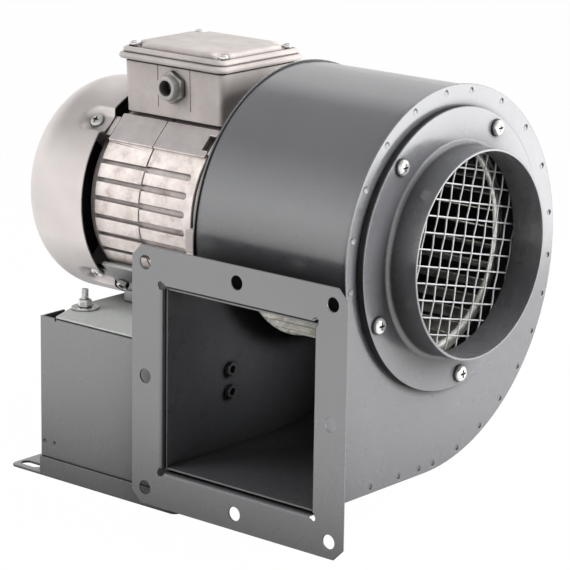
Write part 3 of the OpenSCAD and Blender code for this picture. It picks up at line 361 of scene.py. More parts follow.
def castFinish(name, stops, metal, rough, grain, bevel, creviceShade, pads=None, scale=38.0):
    mat, nt, bsdf, coords = startMaterial(name)
    blotch = addNoise(nt, coords, scale, *castLook["blotch"])
    colour = addRamp(nt, blotch, stops)
    speck = addRange(nt, addNoise(nt, coords, *castLook["speck"]), *castLook["speckRange"])
    colour = mixColours(nt, speck, colour, tuple(c * castLook["speckDark"] for c in stops[0][1]))
    if pads:
        colour = mixColours(nt, padMask(nt), colour, addBlend(nt, blotch, *pads))
    colour = addCreviceShade(nt, colour, creviceShade)
    blur = addRange(nt, addNoise(nt, coords, *castLook["rough"]), *rough)
    setSurface(nt, bsdf, colour, blur, metal)
    coarse, fine = (addNoise(nt, coords, *castLook[k]) for k in ("coarse", "fine"))
    addBump(nt, bsdf, [(coarse, grain, castLook["coarseDeep"]),
                       (fine, grain * castLook["fineShare"], castLook["fineDeep"])], bevel)
    return mat


# noise is (times the finish's own scale, detail, roughness)
metalLook = {"cloud": (1, 4.0, 0.55), "rough": (2.3, 4.0, 0.5), "grain": (7, 3.0, 0.5),
             "grainDeep": 0.0002, "underShadeTurn": (-0.95, -0.35)}


def metalFinish(name, dark, light, rough, scale, bevel, grain=0.08, stretch=None, metal=1.0,
                creviceShade=((0.004, 0.12),), under=None):
    mat, nt, bsdf, coords = startMaterial(name)
    cloud, streak, skin = (
        addNoise(nt, coords, scale * times, detail, soft, stretch)
        for times, detail, soft in (metalLook[k] for k in ("cloud", "rough", "grain")))
    colour = addCreviceShade(nt, addBlend(nt, cloud, dark, light), creviceShade)
    # painted shade: faces turned downwards are darkened, down to the share given as under
    if under:
        down = addRange(nt, splitCoords(nt, "Normal")["Z"], under, 1.0, *metalLook["underShadeTurn"])
        colour = shadeColour(nt, colour, down)
    setSurface(nt, bsdf, colour, addRange(nt, streak, *rough), metal)
    addBump(nt, bsdf, [(skin, grain, metalLook["grainDeep"])], bevel)
    return mat


spangle = {"scale": 130.0, "metal": 0.72, "rough": (0.10, 0.26), "grainScale": 500.0, "grain": 0.06,
           "grainDeep": 0.0002, "bevel": 0.0003}


def spangleFinish(name, dark, light):
    mat, nt, bsdf, coords = startMaterial(name)
    cells = nt.nodes.new("ShaderNodeTexVoronoi")
    feed(nt, spangle["scale"], cells.inputs["Scale"])
    feed(nt, coords, cells.inputs["Vector"])
    grey = nt.nodes.new("ShaderNodeSeparateColor")
    nt.links.new(cells.outputs["Color"], grey.inputs[0])
    colour = addBlend(nt, grey.outputs[0], dark, light, 0.0, 1.0)
    blur = addRange(nt, grey.outputs[1], *spangle["rough"], 0.0, 1.0)
    setSurface(nt, bsdf, colour, blur, spangle["metal"])
    skin = addNoise(nt, coords, spangle["grainScale"])
    addBump(nt, bsdf, [(skin, spangle["grain"], spangle["grainDeep"])], spangle["bevel"])
    return mat


dullLook = {"cloudDetail": 4.0, "roughTimes": 3, "roughSpread": 0.08, "grainTimes": 9,
            "grain": 0.12, "grainDeep": 0.0002}


def dullFinish(name, dark, light, rough, scale, bevel):
    mat, nt, bsdf, coords = startMaterial(name)
    colour = addBlend(nt, addNoise(nt, coords, scale, dullLook["cloudDetail"]), dark, light)
    spread = dullLook["roughSpread"]
    streak = addNoise(nt, coords, scale * dullLook["roughTimes"])
    blur = addRange(nt, streak, rough - spread, rough + spread)
    setSurface(nt, bsdf, colour, blur)
    skin = addNoise(nt, coords, scale * dullLook["grainTimes"])
    addBump(nt, bsdf, [(skin, dullLook["grain"], dullLook["grainDeep"])], bevel)
    return mat


# one finish for each slot, and one of its own for the guard's wire
# the crevice rows of each finish darken its corners, grooves and hollows as painted shade
finishes = {
    # housing paint: the duct and spigot insides get painted shade in both colour and gloss
    "housing_paint": paintFinish(
        "housingPaint", dark=(0.074, 0.075, 0.081), light=(0.090, 0.091, 0.097), rough=(0.14, 0.22),
        peel=0.014, bevel=0.001, creviceShade=((0.003, 0.05), (0.14, 0.12)), gloss=2.75,
        shadeGlossInside=0.17),
    "plate_paint": paintFinish(
        "platePaint", dark=(0.41, 0.425, 0.415), light=(0.47, 0.485, 0.47), rough=(0.38, 0.50),
        peel=0.04, bevel=0.0008, creviceShade=((0.006, 0.10), (0.05, 0.30))),
    "raw_cast": castFinish(
        "rawCast", [(0.30, (0.52, 0.432, 0.402)), (0.46, (0.78, 0.692, 0.652)),
                    (0.68, (0.94, 0.868, 0.828))],
        metal=0.12, rough=(0.46, 0.62), grain=0.22, bevel=0.0006,
        creviceShade=((0.0016, 0.02), (0.022, 0.16)),
        pads=((0.36, 0.325, 0.325), (0.44, 0.405, 0.40)), scale=75.0),
    # the cowl's paint is darkened on its undersides and in its hollows as painted shade
    "cowl_paint": metalFinish(
        "cowlSilver", dark=(0.72, 0.667, 0.650), light=(0.81, 0.754, 0.735), rough=(0.34, 0.44),
        scale=22.0, bevel=0.0008, grain=0.04, metal=0.85,
        creviceShade=((0.004, 0.30), (0.08, 0.25)), under=0.26),
    "box_cast": castFinish(
        "boxCast", [(0.30, (0.405, 0.364, 0.348)), (0.55, (0.468, 0.424, 0.408)),
                    (0.75, (0.53, 0.484, 0.466))],
        metal=0.15, rough=(0.36, 0.50), grain=0.10, bevel=0.0006, creviceShade=((0.004, 0.06),)),
    "gland_metal": castFinish(
        "glandMetal", [(0.30, (0.34, 0.325, 0.31)), (0.70, (0.48, 0.465, 0.45))],
        metal=0.25, rough=(0.32, 0.46), grain=0.06, bevel=0.0004, creviceShade=((0.012, 0.02),)),
    "zinc": metalFinish(
        "zincPlate", dark=(0.68, 0.68, 0.67), light=(0.90, 0.90, 0.885), rough=(0.08, 0.22),
        scale=140.0, bevel=0.0003, metal=0.8, creviceShade=((0.004, 0.05),)),
    "guardWire": metalFinish(
        "guardWire", dark=(0.36, 0.36, 0.365), light=(0.46, 0.46, 0.465), rough=(0.26, 0.40),
        scale=160.0, bevel=0.0003, metal=0.45),
    "galvanised": spangleFinish(
        "galvanisedSheet", dark=(0.56, 0.55, 0.50), light=(0.98, 0.965, 0.91)),
    "steel": metalFinish(
        "machinedSteel", dark=(0.42, 0.42, 0.43), light=(0.60, 0.60, 0.61), rough=(0.22, 0.40),
        scale=120.0, bevel=0.0004),
    "black_rubber": dullFinish(
        "blackRubber", dark=(0.012, 0.012, 0.013), light=(0.03, 0.03, 0.031), rough=0.62,
        scale=120.0, bevel=0.0004),
    "dark_plastic": dullFinish(
        "darkPlastic", dark=(0.02, 0.02, 0.022), light=(0.045, 0.045, 0.048), rough=0.50,
        scale=100.0, bevel=0.0004),
    "copper": metalFinish(
        "copperWire", dark=(0.45, 0.20, 0.09), light=(0.72, 0.38, 0.20), rough=(0.25, 0.45),
        scale=300.0, bevel=0.0004, grain=0.3, stretch=(0.2, 6, 6)),
    "brass": metalFinish(
        "brassStud", dark=(0.55, 0.40, 0.15), light=(0.76, 0.60, 0.28), rough=(0.22, 0.36),
        scale=140.0, bevel=0.0003)}


def dressNodes():
    for name, obj in nodes.items():
        mat = finishes[slotOf[name]]
        if obj.material_slots:
            for place in obj.material_slots:
                place.material = mat
        else:
            obj.data.materials.append(mat)


dressNodes()
print("finishes on all CAD nodes")


# mesh helpers: sizes in mm, made into metres on the way out
def inMm(box):
    return [Vector(c) / mm for c in box]


def addRings(bm, rings, loop=False):
    rows = [[bm.verts.new(p) for p in ring] for ring in rings]
    for a, b in zip(rows, rows[1:] + rows[:1] if loop else rows[1:]):
        for i in range(len(a)):
            bm.faces.new((a[i - 1], a[i], b[i], b[i - 1]))
    if not loop:
        bm.faces.new(rows[0])
        bm.faces.new(rows[-1])


def placeAt(point, axis):
    return Matrix.Translation(point) @ Vector(axis).to_track_quat("Z", "Y").to_matrix().to_4x4()


def turnedPoint(place, r, t, z):
    return place @ Vector((r * mm * math.cos(t), r * mm * math.sin(t), z * mm))


# rows are (radius, height), or (radius, height, flat) where six flats cut the round
def turnedRings(place, profile, count=36):
    rings = []
    for row in profile:
        ring = []
        for i in range(count):
            t = 2 * math.pi * i / count
            r = row[0]
            if len(row) > 2:
                r = min(r, row[2] / math.cos((t + math.pi / 6) % (math.pi / 3) - math.pi / 6))
            ring.append(turnedPoint(place, r, t, row[1]))
        rings.append(ring)
    return rings


def cornerArc(x, y, r, start, turn, count=6):
    angles = [start + turn * i / count for i in range(count + 1)]
    return [(x + r * math.cos(t), y + r * math.sin(t)) for t in angles]


def flatRing(centre, points, z):
    return [Vector(((centre[0] + x) * mm, (centre[1] + y) * mm, z * mm)) for x, y in points]


def roundedRing(centre, hx, hy, r, z):
    points = []
    for k, (sx, sy) in enumerate(corners):
        points += cornerArc(sx * (hx - r), sy * (hy - r), r, k * math.pi / 2, math.pi / 2)
    return flatRing(centre, points, z)


def meshFrom(name, bm):
    bmesh.ops.recalc_face_normals(bm, faces=bm.faces)
    mesh = bpy.data.meshes.new(name)
    bm.to_mesh(mesh)
    bm.free()
    return mesh


def shadeSmooth(mesh, sharp):
    for poly in mesh.polygons:
        poly.use_smooth = True
    mesh.set_sharp_from_angle(angle=math.radians(sharp))


def newPiece(name, bm, slot, stands, body="housing", smooth=35, finish=None):
    mesh = meshFrom(name, bm)
    shadeSmooth(mesh, smooth)
    mesh.materials.append(finishes[finish or slot])
    piece = linkNew(name, mesh)
    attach(piece, body)
    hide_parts(*stands)
    return piece


def bakeModifiers(piece):
    graph = bpy.context.evaluated_depsgraph_get()
    mesh = bpy.data.meshes.new_from_object(piece.evaluated_get(graph))
    piece.modifiers.clear()
    piece.data = mesh


# flat faces keep their own normal where rounded edges meet them
def settleNormals(piece):
    mod = piece.modifiers.new("settle", "WEIGHTED_NORMAL")
    mod.keep_sharp = True
    bakeModifiers(piece)


# cut one mesh out of a piece and shade what is left
def cutPiece(piece, bm, sharp):
    cutter = linkNew("cutter", meshFrom("cutter", bm))
    mod = piece.modifiers.new("cut", "BOOLEAN")
    mod.operation = "DIFFERENCE"
    mod.solver = "EXACT"
    mod.object = cutter
    bakeModifiers(piece)
    bpy.data.objects.remove(cutter)
    shadeSmooth(piece.data, sharp)
    settleNormals(piece)


# a CAD node's mesh with its doubled points joined
def nodeMesh(node, near):
    bm = bmesh.new()
    bm.from_mesh(nodes[node].data)
    bmesh.ops.remove_doubles(bm, verts=bm.verts, dist=near)
    return bm


# the separate solids of a CAD node, each a list of points
def solidsOf(node):
    bm = nodeMesh(node, near=1e-6)
    bm.verts.ensure_lookup_table()
    bm.verts.index_update()
    seen = [False] * len(bm.verts)
    solids = []
    for first in bm.verts:
        if seen[first.index]:
            continue
        seen[first.index] = True
        group = [first]
        for vert in group:
            for edge in vert.link_edges:
                other = edge.other_vert(vert)
                if not seen[other.index]:
                    seen[other.index] = True
                    group.append(other)
        solids.append([v.co.copy() for v in group])
    bm.free()
    return solids


# axis outward from the shaft, for what sits on the four corner pads
def padAxis(mid):
    return (0, math.copysign(1, mid.y), math.copysign(1, mid.z))


# tipDeep finds the shank's end, in metres; points past headOver times its radius are the head
boltSense = {"tipDeep": 1e-4, "headOver": 1.15}


# where each fastener of a node sits: seat of its head, and its sizes in mm
def boltPlaces(node, axisOf):
    found = []
    for solid in solidsOf(node):
        low, high = (Vector([f(v[i] for v in solid) for i in range(3)]) for f in (min, max))
        axis = Vector(axisOf((low + high) / 2) if callable(axisOf) else axisOf).normalized()
        side = axis.orthogonal().normalized()
        along = [v.dot(axis) for v in solid]
        start, end = min(along), max(along)
        line = Vector()
        for way in (side, axis.cross(side)):
            reach = [v.dot(way) for v in solid]
            line += way * (min(reach) + max(reach)) / 2
        radius = [(v - line - axis * (v - line).dot(axis)).length for v in solid]
        tip = max(r for r, a in zip(radius, along) if a < start + boltSense["tipDeep"])
        wide = [a for r, a in zip(radius, along) if r > boltSense["headOver"] * tip]
        seat = min(wide) if wide else start
        found.append({"place": placeAt(line + axis * seat, axis), "head": (end - seat) / mm,
                      "shank": (seat - start) / mm, "headR": max(radius) / mm,
                      "shankR": tip / mm, "hole": min(radius) / mm})
    return found


# a shank from its chamfered end up to the head
def shankRows(bolt, tipR=0.7, tipLong=0.4):
    r, shank = bolt["shankR"], bolt["shank"]
    return [(tipR * r, -shank), (r, tipLong * r - shank), (r, 0)]


# hexagons: face, drop, shoulder and dishR are shares, the rest is in mm
hexHead = {"face": 0.94, "drop": 0.55, "shoulder": 0.4, "washerFace": 0.4, "dishR": (0.82, 0.78),
           "dishDeep": 0.25, "dishEnd": 0.1, "mouth": 0.5}


def hexSizes(big):
    flat = big * math.cos(math.pi / 6)
    face = hexHead["face"] * flat
    return flat, face, hexHead["drop"] * (big - face)


def hexTop(big, h):
    flat, face, drop = hexSizes(big)
    return [(big, h - drop, flat), ((big + face) / 2, h - hexHead["shoulder"] * drop, flat),
            (face, h, flat)]


def addHexBolt(bm, bolt):
    big, h = bolt["headR"], bolt["head"]
    flat, face = hexSizes(big)[:2]
    low, dish = hexHead["washerFace"], h - hexHead["dishDeep"]
    outer, inner = (share * face for share in hexHead["dishR"])
    addRings(bm, turnedRings(bolt["place"], [
        *shankRows(bolt), (face, 0), (face, low), (big, low, flat), *hexTop(big, h),
        (outer, h), (inner, dish), (hexHead["dishEnd"], dish)]))


def addNut(bm, nut):
    big, h, hole, edge = nut["headR"], nut["head"], nut["hole"], hexHead["mouth"]
    flat, face, drop = hexSizes(big)
    addRings(bm, turnedRings(nut["place"], [
        (hole, edge), (hole + edge, 0), (face, 0, flat), (big, drop, flat), *hexTop(big, h),
        (hole + edge, h), (hole, h - edge)]), loop=True)


def addWasher(bm, ring, edge=0.25):
    r, h, hole = ring["headR"], ring["head"], ring["hole"]
    addRings(bm, turnedRings(ring["place"], [
        (hole, edge), (hole + edge, 0), (r - edge, 0), (r, edge), (r, h - edge), (r - edge, h),
        (hole + edge, h), (hole, h - edge)], count=48), loop=True)


# pan head with a cross-shaped recess, in shares of the head's radius and height
crossHead = {"reach": 0.52, "half": 0.13,
             "dome": [(0.97, 0), (1, 0.1), (1, 0.40), (0.96, 0.64), (0.86, 0.84), (0.70, 0.96)],
             "recess": [(1, 1), (0.86, 0.45), (0.45, 0.25)]}


# how far out the cross's edge is at an angle
def crossEdge(t):
    reach, half = crossHead["reach"], crossHead["half"]
    c, s = max(abs(math.cos(t)), 1e-6), max(abs(math.sin(t)), 1e-6)
    return max(min(reach / c, half / s), min(reach / s, half / c))


# the ring of angles meets the recess's corners
def addCrossScrew(bm, screw):
    big, h, place = screw["headR"], screw["head"], screw["place"]
    corner = math.atan2(crossHead["half"], crossHead["reach"])
    quarter = [0, corner, 0.5 * corner + math.pi / 8, math.pi / 4, 3 * math.pi / 8 - 0.5 * corner,
               math.pi / 2 - corner]
    angles = [q * math.pi / 2 + a for q in range(4) for a in quarter]
    rows = shankRows(screw) + [(share * big, z * h) for share, z in crossHead["dome"]]
    rings = [[turnedPoint(place, r, t, z) for t in angles] for r, z in rows]
    for share, z in crossHead["recess"]:
        rings.append([turnedPoint(place, big * crossEdge(t) * share, t, z * h) for t in angles])
    addRings(bm, rings)


# edge rounding of CAD shapes: joined and flattened first, in metres and degrees
softEdge = {"near": 2e-6, "flat": 0.5, "sharp": 30, "segments": 2}


# a CAD node's own shape with its edges rounded
def softMesh(node, width):
    bm = nodeMesh(node, softEdge["near"])
    flat, sharp = math.radians(softEdge["flat"]), math.radians(softEdge["sharp"])
    bmesh.ops.dissolve_limit(bm, angle_limit=flat, verts=bm.verts, edges=bm.edges)
    edges = [e for e in bm.edges if len(e.link_faces) == 2 and e.calc_face_angle(0) > sharp]
    bmesh.ops.bevel(bm, geom=edges, offset=width * mm, offset_type="OFFSET",
                    segments=softEdge["segments"], profile=0.5, affect="EDGES", clamp_overlap=False)
    return bm


# sheet steel and castings: node, piece that stands for it, rounding of its edges
softPieces = {"outlet_flange": ("outletFlange", 0.35), "inlet_ring": ("inletRing", 0.4),
              "motor_plate": ("motorPlate", 0.85), "pedestal_front_panel": ("frontPanel", 0.5),
              "pedestal_rear_panel": ("rearPanel", 0.5), "front_base_rail": ("frontRail", 0.6),
              "rear_base_rail": ("rearRail", 0.6), "front_foot": ("frontFoot", 0.8),
              "rear_foot": ("rearFoot", 0.8), "drive_end_shield": ("driveShield", 0.8),
              "fan_end_shield": ("fanShield", 0.8), "motor_frame": ("motorFrame", 0.6)}


def addSoftPieces():
    for node, (name, width) in softPieces.items():
        settleNormals(newPiece(name, softMesh(node, width), slotOf[node], (node,)))


addSoftPieces()
print("sheet and cast pieces with rounded edges")

# pressed recesses round the rim of both side plates: a straight run along the bottom, then arcs
# each arc: centre, radius, first and last angle, count
plateRim = {"edge": 0.35, "sharp": 30, "stakeIn": 5.8, "stakeWide": 2.3, "stakeLong": 3.3,
            "stakeDeep": 0.52, "stakeTilt": 8, "bottomRun": (-87, -53, -28),
            "arcs": [((-21.5, -12.5), 159.5, -86, -6, 8), ((1.5, -12.5), 136.5, 8, 80, 5),
                     ((1.5, 1.5), 122.5, 94, 187, 6)]}


def stakePlaces():
    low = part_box("inlet_side_plate")[0][2] / mm
    inset = plateRim["stakeIn"]
    for y in plateRim["bottomRun"]:
        yield y, low + inset, -90.0
    for (cy, cz), r, first, last, count in plateRim["arcs"]:
        for i in range(count):
            angle = first + (last - first) * i / (count - 1)
            t = math.radians(angle)
            yield cy + (r - inset) * math.cos(t), cz + (r - inset) * math.sin(t), angle


def addSidePlate(node, name, face, outward):
    piece = newPiece(name, softMesh(node, plateRim["edge"]), slotOf[node], (node,))
    tilt = Matrix.Rotation(math.radians(outward * plateRim["stakeTilt"]), 4, "Z")
    size = Matrix.Diagonal((plateRim["stakeDeep"] * mm, plateRim["stakeLong"] * mm,
                            plateRim["stakeWide"] * mm, 1))
    cutter = bmesh.new()
    for y, z, angle in stakePlaces():
        turn = Matrix.Rotation(math.radians(angle), 4, "X") @ tilt
        place = Matrix.Translation((face, y * mm, z * mm))
        bmesh.ops.create_icosphere(cutter, subdivisions=3, radius=1.0, matrix=place @ turn @ size)
    cutPiece(piece, cutter, plateRim["sharp"])


addSidePlate("inlet_side_plate", "inletSidePlate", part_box("inlet_side_plate")[1][0], 1)
addSidePlate("motor_side_plate", "motorSidePlate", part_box("motor_side_plate")[0][0], -1)
print("side plates with pressed recesses")

# woven guard: the wires pass over and under each other
guard = {"turn": -13.0, "pitch": 12.7, "uprightShift": 2.5, "crossShift": -2.0, "wireR": 0.68,
         "wave": 0.34, "sides": 8, "steps": 8, "endRoom": 4, "sharp": 60}


# one wire along Z, at v across and number i of its set; other is where the crossing set starts
def wireRings(i, v, other, half, xMid, over):
    pitch, wave, across = guard["pitch"], guard["wave"], Vector((0, 1, 0))
    steps = int(2 * half / pitch * guard["steps"])
    rings = []
    for k in range(steps + 1):
        u = half * (2 * k / steps - 1)
        phase = math.pi * ((u - other) / pitch + i)
        middle = Vector((xMid + wave * math.cos(phase) * over, v, u))
        slope = -wave * math.pi / pitch * math.sin(phase) * over
        out = Vector((slope, 0, 1)).normalized().cross(across)
        angles = [2 * math.pi * s / guard["sides"] for s in range(guard["sides"])]
        circle = [out * math.cos(t) + across * math.sin(t) for t in angles]
        rings.append([middle + guard["wireR"] * p for p in circle])
    return rings


def addGuard():
    boxes = [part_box("guard_upright_wires"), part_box("guard_cross_wires")]
    xMid = (min(b[0][0] for b in boxes) + max(b[1][0] for b in boxes)) / 2 / mm
    reach = max(max(abs(c) for c in b[k][1:]) for b in boxes for k in (0, 1)) / mm
    turn = Matrix.Rotation(math.radians(guard["turn"]), 4, "X")
    count = int(reach / guard["pitch"])
    upright, cross = guard["uprightShift"], guard["crossShift"]
    bm = bmesh.new()
    for shift, other, over in ((upright, cross, 1), (cross, upright, -1)):
        for i in range(-count, count + 1):
            v = i * guard["pitch"] + shift
            if abs(v) > reach - guard["endRoom"] * guard["wireR"]:
                continue
            half = math.sqrt(reach ** 2 - v ** 2)
            rings = wireRings(i, v, other, half, xMid, over)
            if over < 0:
                rings = [[p.xzy for p in ring] for ring in rings]
            addRings(bm, [[turn @ Vector([c * mm for c in p]) for p in ring] for ring in rings])
    newPiece("wovenGuard", bm, "zinc", ("guard_upright_wires", "guard_cross_wires"),
             smooth=guard["sharp"], finish="guardWire")


addGuard()
print("woven guard")

# fasteners stand where the CAD ones do; a solid with a hole among bolts is a nut
fasteners = {"sharp": 28, "nutHole": 1}


def addFasteners():
    for node, name, axis, make in (
            ("inlet_screws", "inletScrews", (1, 0, 0), addCrossScrew),
            ("cowl_screws", "cowlScrews", padAxis, addCrossScrew),
            ("lid_screws", "lidScrews", (0, 0, 1), addCrossScrew),
            ("inlet_screw_washers", "screwWashers", (1, 0, 0), addWasher),
            ("plate_stud_washers", "studWashers", (0, 0, 1), addWasher),
            ("plate_stud_nuts", "studNuts", (0, 0, 1), addNut),
            ("shield_bolts", "shieldBolts", (1, 0, 0), addHexBolt),
            ("motor_face_bolts", "motorFaceBolts", (1, 0, 0), addHexBolt),
            ("foot_pad_bolts", "footPadBolts", padAxis, addHexBolt),
            ("foot_base_bolts", "footBaseBolts", (0, 0, -1), addHexBolt),
            ("pedestal_bolts", "pedestalBolts", (1, 0, 0), addHexBolt)):
        bm = bmesh.new()
        for bolt in boltPlaces(node, axis):
            if make is addHexBolt and bolt["hole"] > fasteners["nutHole"]:
                addNut(bm, bolt)
            else:
                make(bm, bolt)
        newPiece(name, bm, slotOf[node], (node,), smooth=fasteners["sharp"])


# threaded studs: the ridge climbs one pitch a turn
plateStud = {"pitch": 1.0, "depth": 0.42, "rows": 4, "sides": 24, "lap": 0.2, "headEdge": 0.5,
             "neck": 0.9, "sharp": 50}


def threadRings(bolt):
    r, low, high = bolt["shankR"], -bolt["shank"], plateStud["lap"]
    pitch, depth, count = plateStud["pitch"], plateStud["depth"], plateStud["sides"]
    rows = int(plateStud["rows"] * (high - low) / pitch)
    rings = []
    for k in range(rows + 1):
        z = low + (high - low) * k / rows
        ring = []
        for i in range(count):
            ridge = abs(((z - low) / pitch - i / count) % 1 * 2 - 1)
            here = r - depth * (1 - ridge) if 0 < k < rows else r - depth
            ring.append(turnedPoint(bolt["place"], here, 2 * math.pi * i / count, z))
        rings.append(ring)
    return rings


def addPlateStuds():
    edge = plateStud["headEdge"]
    bm = bmesh.new()
    for bolt in boltPlaces("plate_studs", (0, 0, -1)):
        big, h = bolt["headR"], bolt["head"]
        addRings(bm, turnedRings(bolt["place"], [
            (plateStud["neck"] * bolt["shankR"], -edge), (big - edge, 0), (big, edge),
            (big, h - edge), (big - edge, h)]))
        addRings(bm, threadRings(bolt))
    newPiece("plateStuds", bm, "zinc", ("plate_studs",), smooth=plateStud["sharp"])


addFasteners()
addPlateStuds()
print("fasteners")

# terminal box: a drafted tray with two lines down its front
terminalBox = {"draft": 1.6, "corner": 4.5, "cornerTaper": 0.3, "wall": 3.2, "wallDraft": 0.4,
               "floor": 3, "footEdge": 0.6, "rimEdge": 0.5, "rimIn": 0.1, "sharp": 40,
               "lineR": 0.6, "lineLong": 33.0, "lineApart": 17.0, "lineOver": 2, "lineSides": 8}


def addTerminalBox():
    low, high = inMm(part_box("terminal_box"))
    glandMid = (Vector(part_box("cable_gland")[0]) + Vector(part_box("cable_gland")[1])) / 2 / mm
    centre = (low + high) / 2
    hx, hy = (high.x - low.x) / 2, (high.y - low.y) / 2
    draft, wall, foot, rim = (terminalBox[k] for k in ("draft", "wall", "footEdge", "rimEdge"))
    rows = [(draft + foot, low.z), (draft, low.z + foot), (terminalBox["rimIn"], high.z - rim),
            (rim, high.z), (wall, high.z),
            (wall + terminalBox["wallDraft"], low.z + terminalBox["floor"])]
    bm = bmesh.new()
    addRings(bm, [roundedRing(centre, hx - cut, hy - cut,
                              terminalBox["corner"] - terminalBox["cornerTaper"] * cut, z)
                  for cut, z in rows])
    piece = newPiece("terminalBox", bm, "box_cast", ("terminal_box",), smooth=terminalBox["sharp"])
    lean = draft / (high.z - low.z)
    angles = [2 * math.pi * i / terminalBox["lineSides"] for i in range(terminalBox["lineSides"])]
    r = terminalBox["lineR"]
    line = [(r * math.cos(t), r * math.sin(t)) for t in angles]
    cutter = bmesh.new()
    for side in (-1, 1):
        x = glandMid.x + side * terminalBox["lineApart"]
        ends = (high.z + terminalBox["lineOver"], high.z - terminalBox["lineLong"])
        addRings(cutter, [flatRing((x, low.y + lean * (high.z - z)), line, z) for z in ends])
    cutPiece(piece, cutter, terminalBox["sharp"])


# lid: two rounded beads with a groove above each, then the raised panel, notched at its corners
# rows are (inset from the edge, height)
lid = {"corner": 8.0, "cornerTaper": 0.6, "cornerLeast": 3, "sharp": 32,
       "rim": [(1.7, 0.0), (0.6, 0.5), (0.1, 1.5), (0.0, 2.6), (0.4, 3.8), (1.3, 4.7), (2.4, 5.0),
               (3.6, 5.1), (3.7, 5.7), (2.9, 6.0), (2.7, 6.7), (2.9, 7.8), (3.6, 8.8), (4.8, 9.5),
               (6.0, 9.5), (6.7, 9.0), (7.1, 8.2), (8.2, 8.1)],
       "panelIn": 9.0, "notch": (19.0, 18.0), "panelCorner": 2.5, "notchCorner": 4.5,
       "panelTaper": 0.3, "panelLeast": 0.6,
       "panel": [(0.0, 8.0), (0.3, 11.4), (0.7, 12.2), (1.5, 12.8), (2.6, 13.1), (4.0, 13.3),
                 (6.0, 13.5)]}


def panelRing(centre, hx, hy, cut, z):
    px, py = hx - cut, hy - cut
    nx, ny = (h - n + lid["panelIn"] - cut for h, n in zip((hx, hy), lid["notch"]))
    out = max(lid["panelCorner"] - lid["panelTaper"] * cut, lid["panelLeast"])
    dip = lid["notchCorner"] + lid["panelTaper"] * cut
    quarter = (cornerArc(px - out, ny - out, out, 0, math.pi / 2)
               + cornerArc(nx + dip, ny + dip, dip, -math.pi / 2, -math.pi / 2)
               + cornerArc(nx - out, py - out, out, 0, math.pi / 2))
    points = []
    for sx, sy in corners:
        turned = [(sx * x, sy * y) for x, y in quarter]
        points += turned if sx * sy > 0 else turned[::-1]
    return flatRing(centre, points, z)


def addLid():
    low, high = inMm(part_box("terminal_box_lid"))
    centre = (low + high) / 2
    hx, hy = (high.x - low.x) / 2, (high.y - low.y) / 2
    bm = bmesh.new()
    rings = []
    for cut, z in lid["rim"]:
        corner = max(lid["corner"] - lid["cornerTaper"] * cut, lid["cornerLeast"])
        rings.append(roundedRing(centre, hx - cut, hy - cut, corner, low.z + z))
    addRings(bm, rings)
    addRings(bm, [panelRing(centre, hx - lid["panelIn"], hy - lid["panelIn"], cut, low.z + z)
                  for cut, z in lid["panel"]])
    settleNormals(newPiece("terminalBoxLid", bm, "box_cast", ("terminal_box_lid",),
                           smooth=lid["sharp"]))


# gland: edges are (radius, length) off the collar's root, the collar's end and the bore's mouth
gland = {"flats": 11.3, "collar": 9.6, "collarLong": 6.0, "bore": 6.2, "threadR": 8.0, "tail": 9.0,
         "hexEdge": (0.8, 0.2), "root": [(0.3, 0.0), (0.0, 0.4)],
         "end": [(0.0, -0.8), (-0.3, -0.2), (-0.8, 0.0)],
         "mouth": [(0.6, 0.0), (0.1, -0.3), (0.0, -0.8)],
         "sides": 48, "sharp": 28}


def addGland():
    low, high = inMm(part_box("cable_gland"))
    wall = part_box("terminal_box")[0][1] / mm
    out = wall - low.y
    flat, bore, thread, tail = (gland[k] for k in ("flats", "bore", "threadR", "tail"))
    big, step = flat / math.cos(math.pi / 6), out - gland["collarLong"]
    under, over = gland["hexEdge"]
    place = placeAt(((low.x + high.x) / 2 * mm, wall * mm, (low.z + high.z) / 2 * mm), (0, -1, 0))
    rows = [(bore, -tail), (thread, -tail), (thread, 0), (big, 0, flat), (big, step - under, flat),
            ((big + flat) / 2, step - over, flat), (flat, step)]
    for r, z, edge in ((gland["collar"], step, "root"), (gland["collar"], out, "end"),
                       (bore, out, "mouth")):
        rows += [(r + dr, z + dz) for dr, dz in gland[edge]]
    bm = bmesh.new()
    addRings(bm, turnedRings(place, rows, gland["sides"]), loop=True)
    newPiece("cableGland", bm, "gland_metal", ("cable_gland",), smooth=gland["sharp"])


addTerminalBox()
addLid()
addGland()
print("terminal box, lid and gland")

# fan cowl: a turned shell pressed in at four screw seats, with arc vents in its back
cowl = {"edgeR": 35.0, "thick": 1.2, "sharp": 50, "rimStep": 1.75, "rimRows": 25, "rimGap": 0.5,
        "arcSteps": 24, "seatDist": 81.5, "seatIn": 6.5, "seatOut": 13.0,
        "spokes": 8, "spokeHalf": 3.5, "spokeLimits": (0.9, 0.38), "sector": 34,
        "ventR0": 18.0, "ventWide": 5.0, "ventPitch": 10.0, "ventRows": 3,
        "backRings": [48.0, 13.0, 8.5], "hubR": 4.0}


# inner and outer radius of each row of vents
def ventEdges():
    inner = [cowl["ventR0"] + i * cowl["ventPitch"] for i in range(cowl["ventRows"])]
    return [(r, r + cowl["ventWide"]) for r in inner]


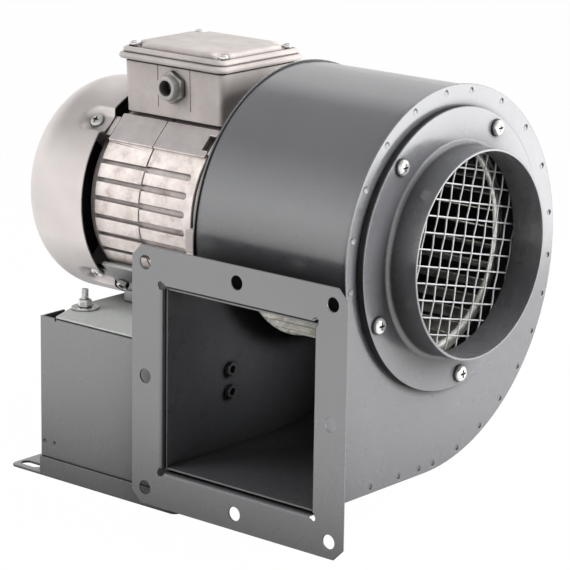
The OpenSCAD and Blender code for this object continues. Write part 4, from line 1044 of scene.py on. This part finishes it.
# rows of (radius, X) from the open rim round the edge and in to the middle of the back
def cowlProfile(low, high):
    r = (high.z - low.z) / 2
    flatR, xArc = r - cowl["edgeR"], low.x + cowl["edgeR"]
    rows = [(r, high.x - i * cowl["rimStep"]) for i in range(cowl["rimRows"])]
    rows = [row for row in rows if row[1] > xArc + cowl["rimGap"]]
    for i in range(cowl["arcSteps"] + 1):
        t = math.pi / 2 * i / cowl["arcSteps"]
        rows.append((flatR + cowl["edgeR"] * math.cos(t), xArc - cowl["edgeR"] * math.sin(t)))
    back = [cowl["hubR"], *cowl["backRings"], *(edge for vent in ventEdges() for edge in vent)]
    return rows + [(edge, low.x) for edge in sorted(back, reverse=True)]


# a point of the shell, drawn in where a seat is pressed
def pressSeats(p, x, seats):
    for seat, out in seats:
        side = Vector((1, 0, 0)).cross(out)
        off, d = (p - seat).dot(side), p.dot(out)
        away = math.hypot(off, min(x - seat.x, 0))
        w = (cowl["seatOut"] - away) / (cowl["seatOut"] - cowl["seatIn"])
        w = min(max(w, 0), 1)
        w = w * w * (3 - 2 * w)
        if d > cowl["seatDist"]:
            p -= out * (d - cowl["seatDist"]) * w
    return p


def addCowl():
    low, high = inMm(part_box("fan_cowl"))
    rows = cowlProfile(low, high)
    seats = [(b["place"].translation / mm, b["place"].to_3x3() @ Vector((0, 0, 1)))
             for b in boltPlaces("cowl_screws", padAxis)]
    step = 2 * math.pi / cowl["spokes"]
    sineMost, stepShare = cowl["spokeLimits"]
    bm = bmesh.new()
    grid = []
    for r, x in rows:
        gap = min(math.asin(min(cowl["spokeHalf"] / r, sineMost)), stepShare * step)
        line = []
        for s in range(cowl["spokes"]):
            for k in range(cowl["sector"] + 1):
                t = s * step + gap + (step - 2 * gap) * k / cowl["sector"]
                p = Vector((x, r * math.cos(t), r * math.sin(t)))
                line.append(bm.verts.new(pressSeats(p, x, seats) * mm))
        grid.append(line)
    vents = {vent[1] for vent in ventEdges()}
    wide = cowl["sector"] + 1
    for j, (a, b) in enumerate(zip(grid, grid[1:])):
        for i in range(len(a)):
            if rows[j][0] in vents and i % wide != wide - 1:
                continue
            n = (i + 1) % len(a)
            bm.faces.new((a[i], a[n], b[n], b[i]))
    bm.faces.new(grid[-1])
    piece = newPiece("fanCowl", bm, "cowl_paint", ("fan_cowl",), smooth=cowl["sharp"])
    mod = piece.modifiers.new("wall", "SOLIDIFY")
    mod.thickness = cowl["thick"] * mm
    mod.offset = -1
    bakeModifiers(piece)
    piece.data.set_sharp_from_angle(angle=math.radians(cowl["sharp"]))


addCowl()
print("fan cowl")
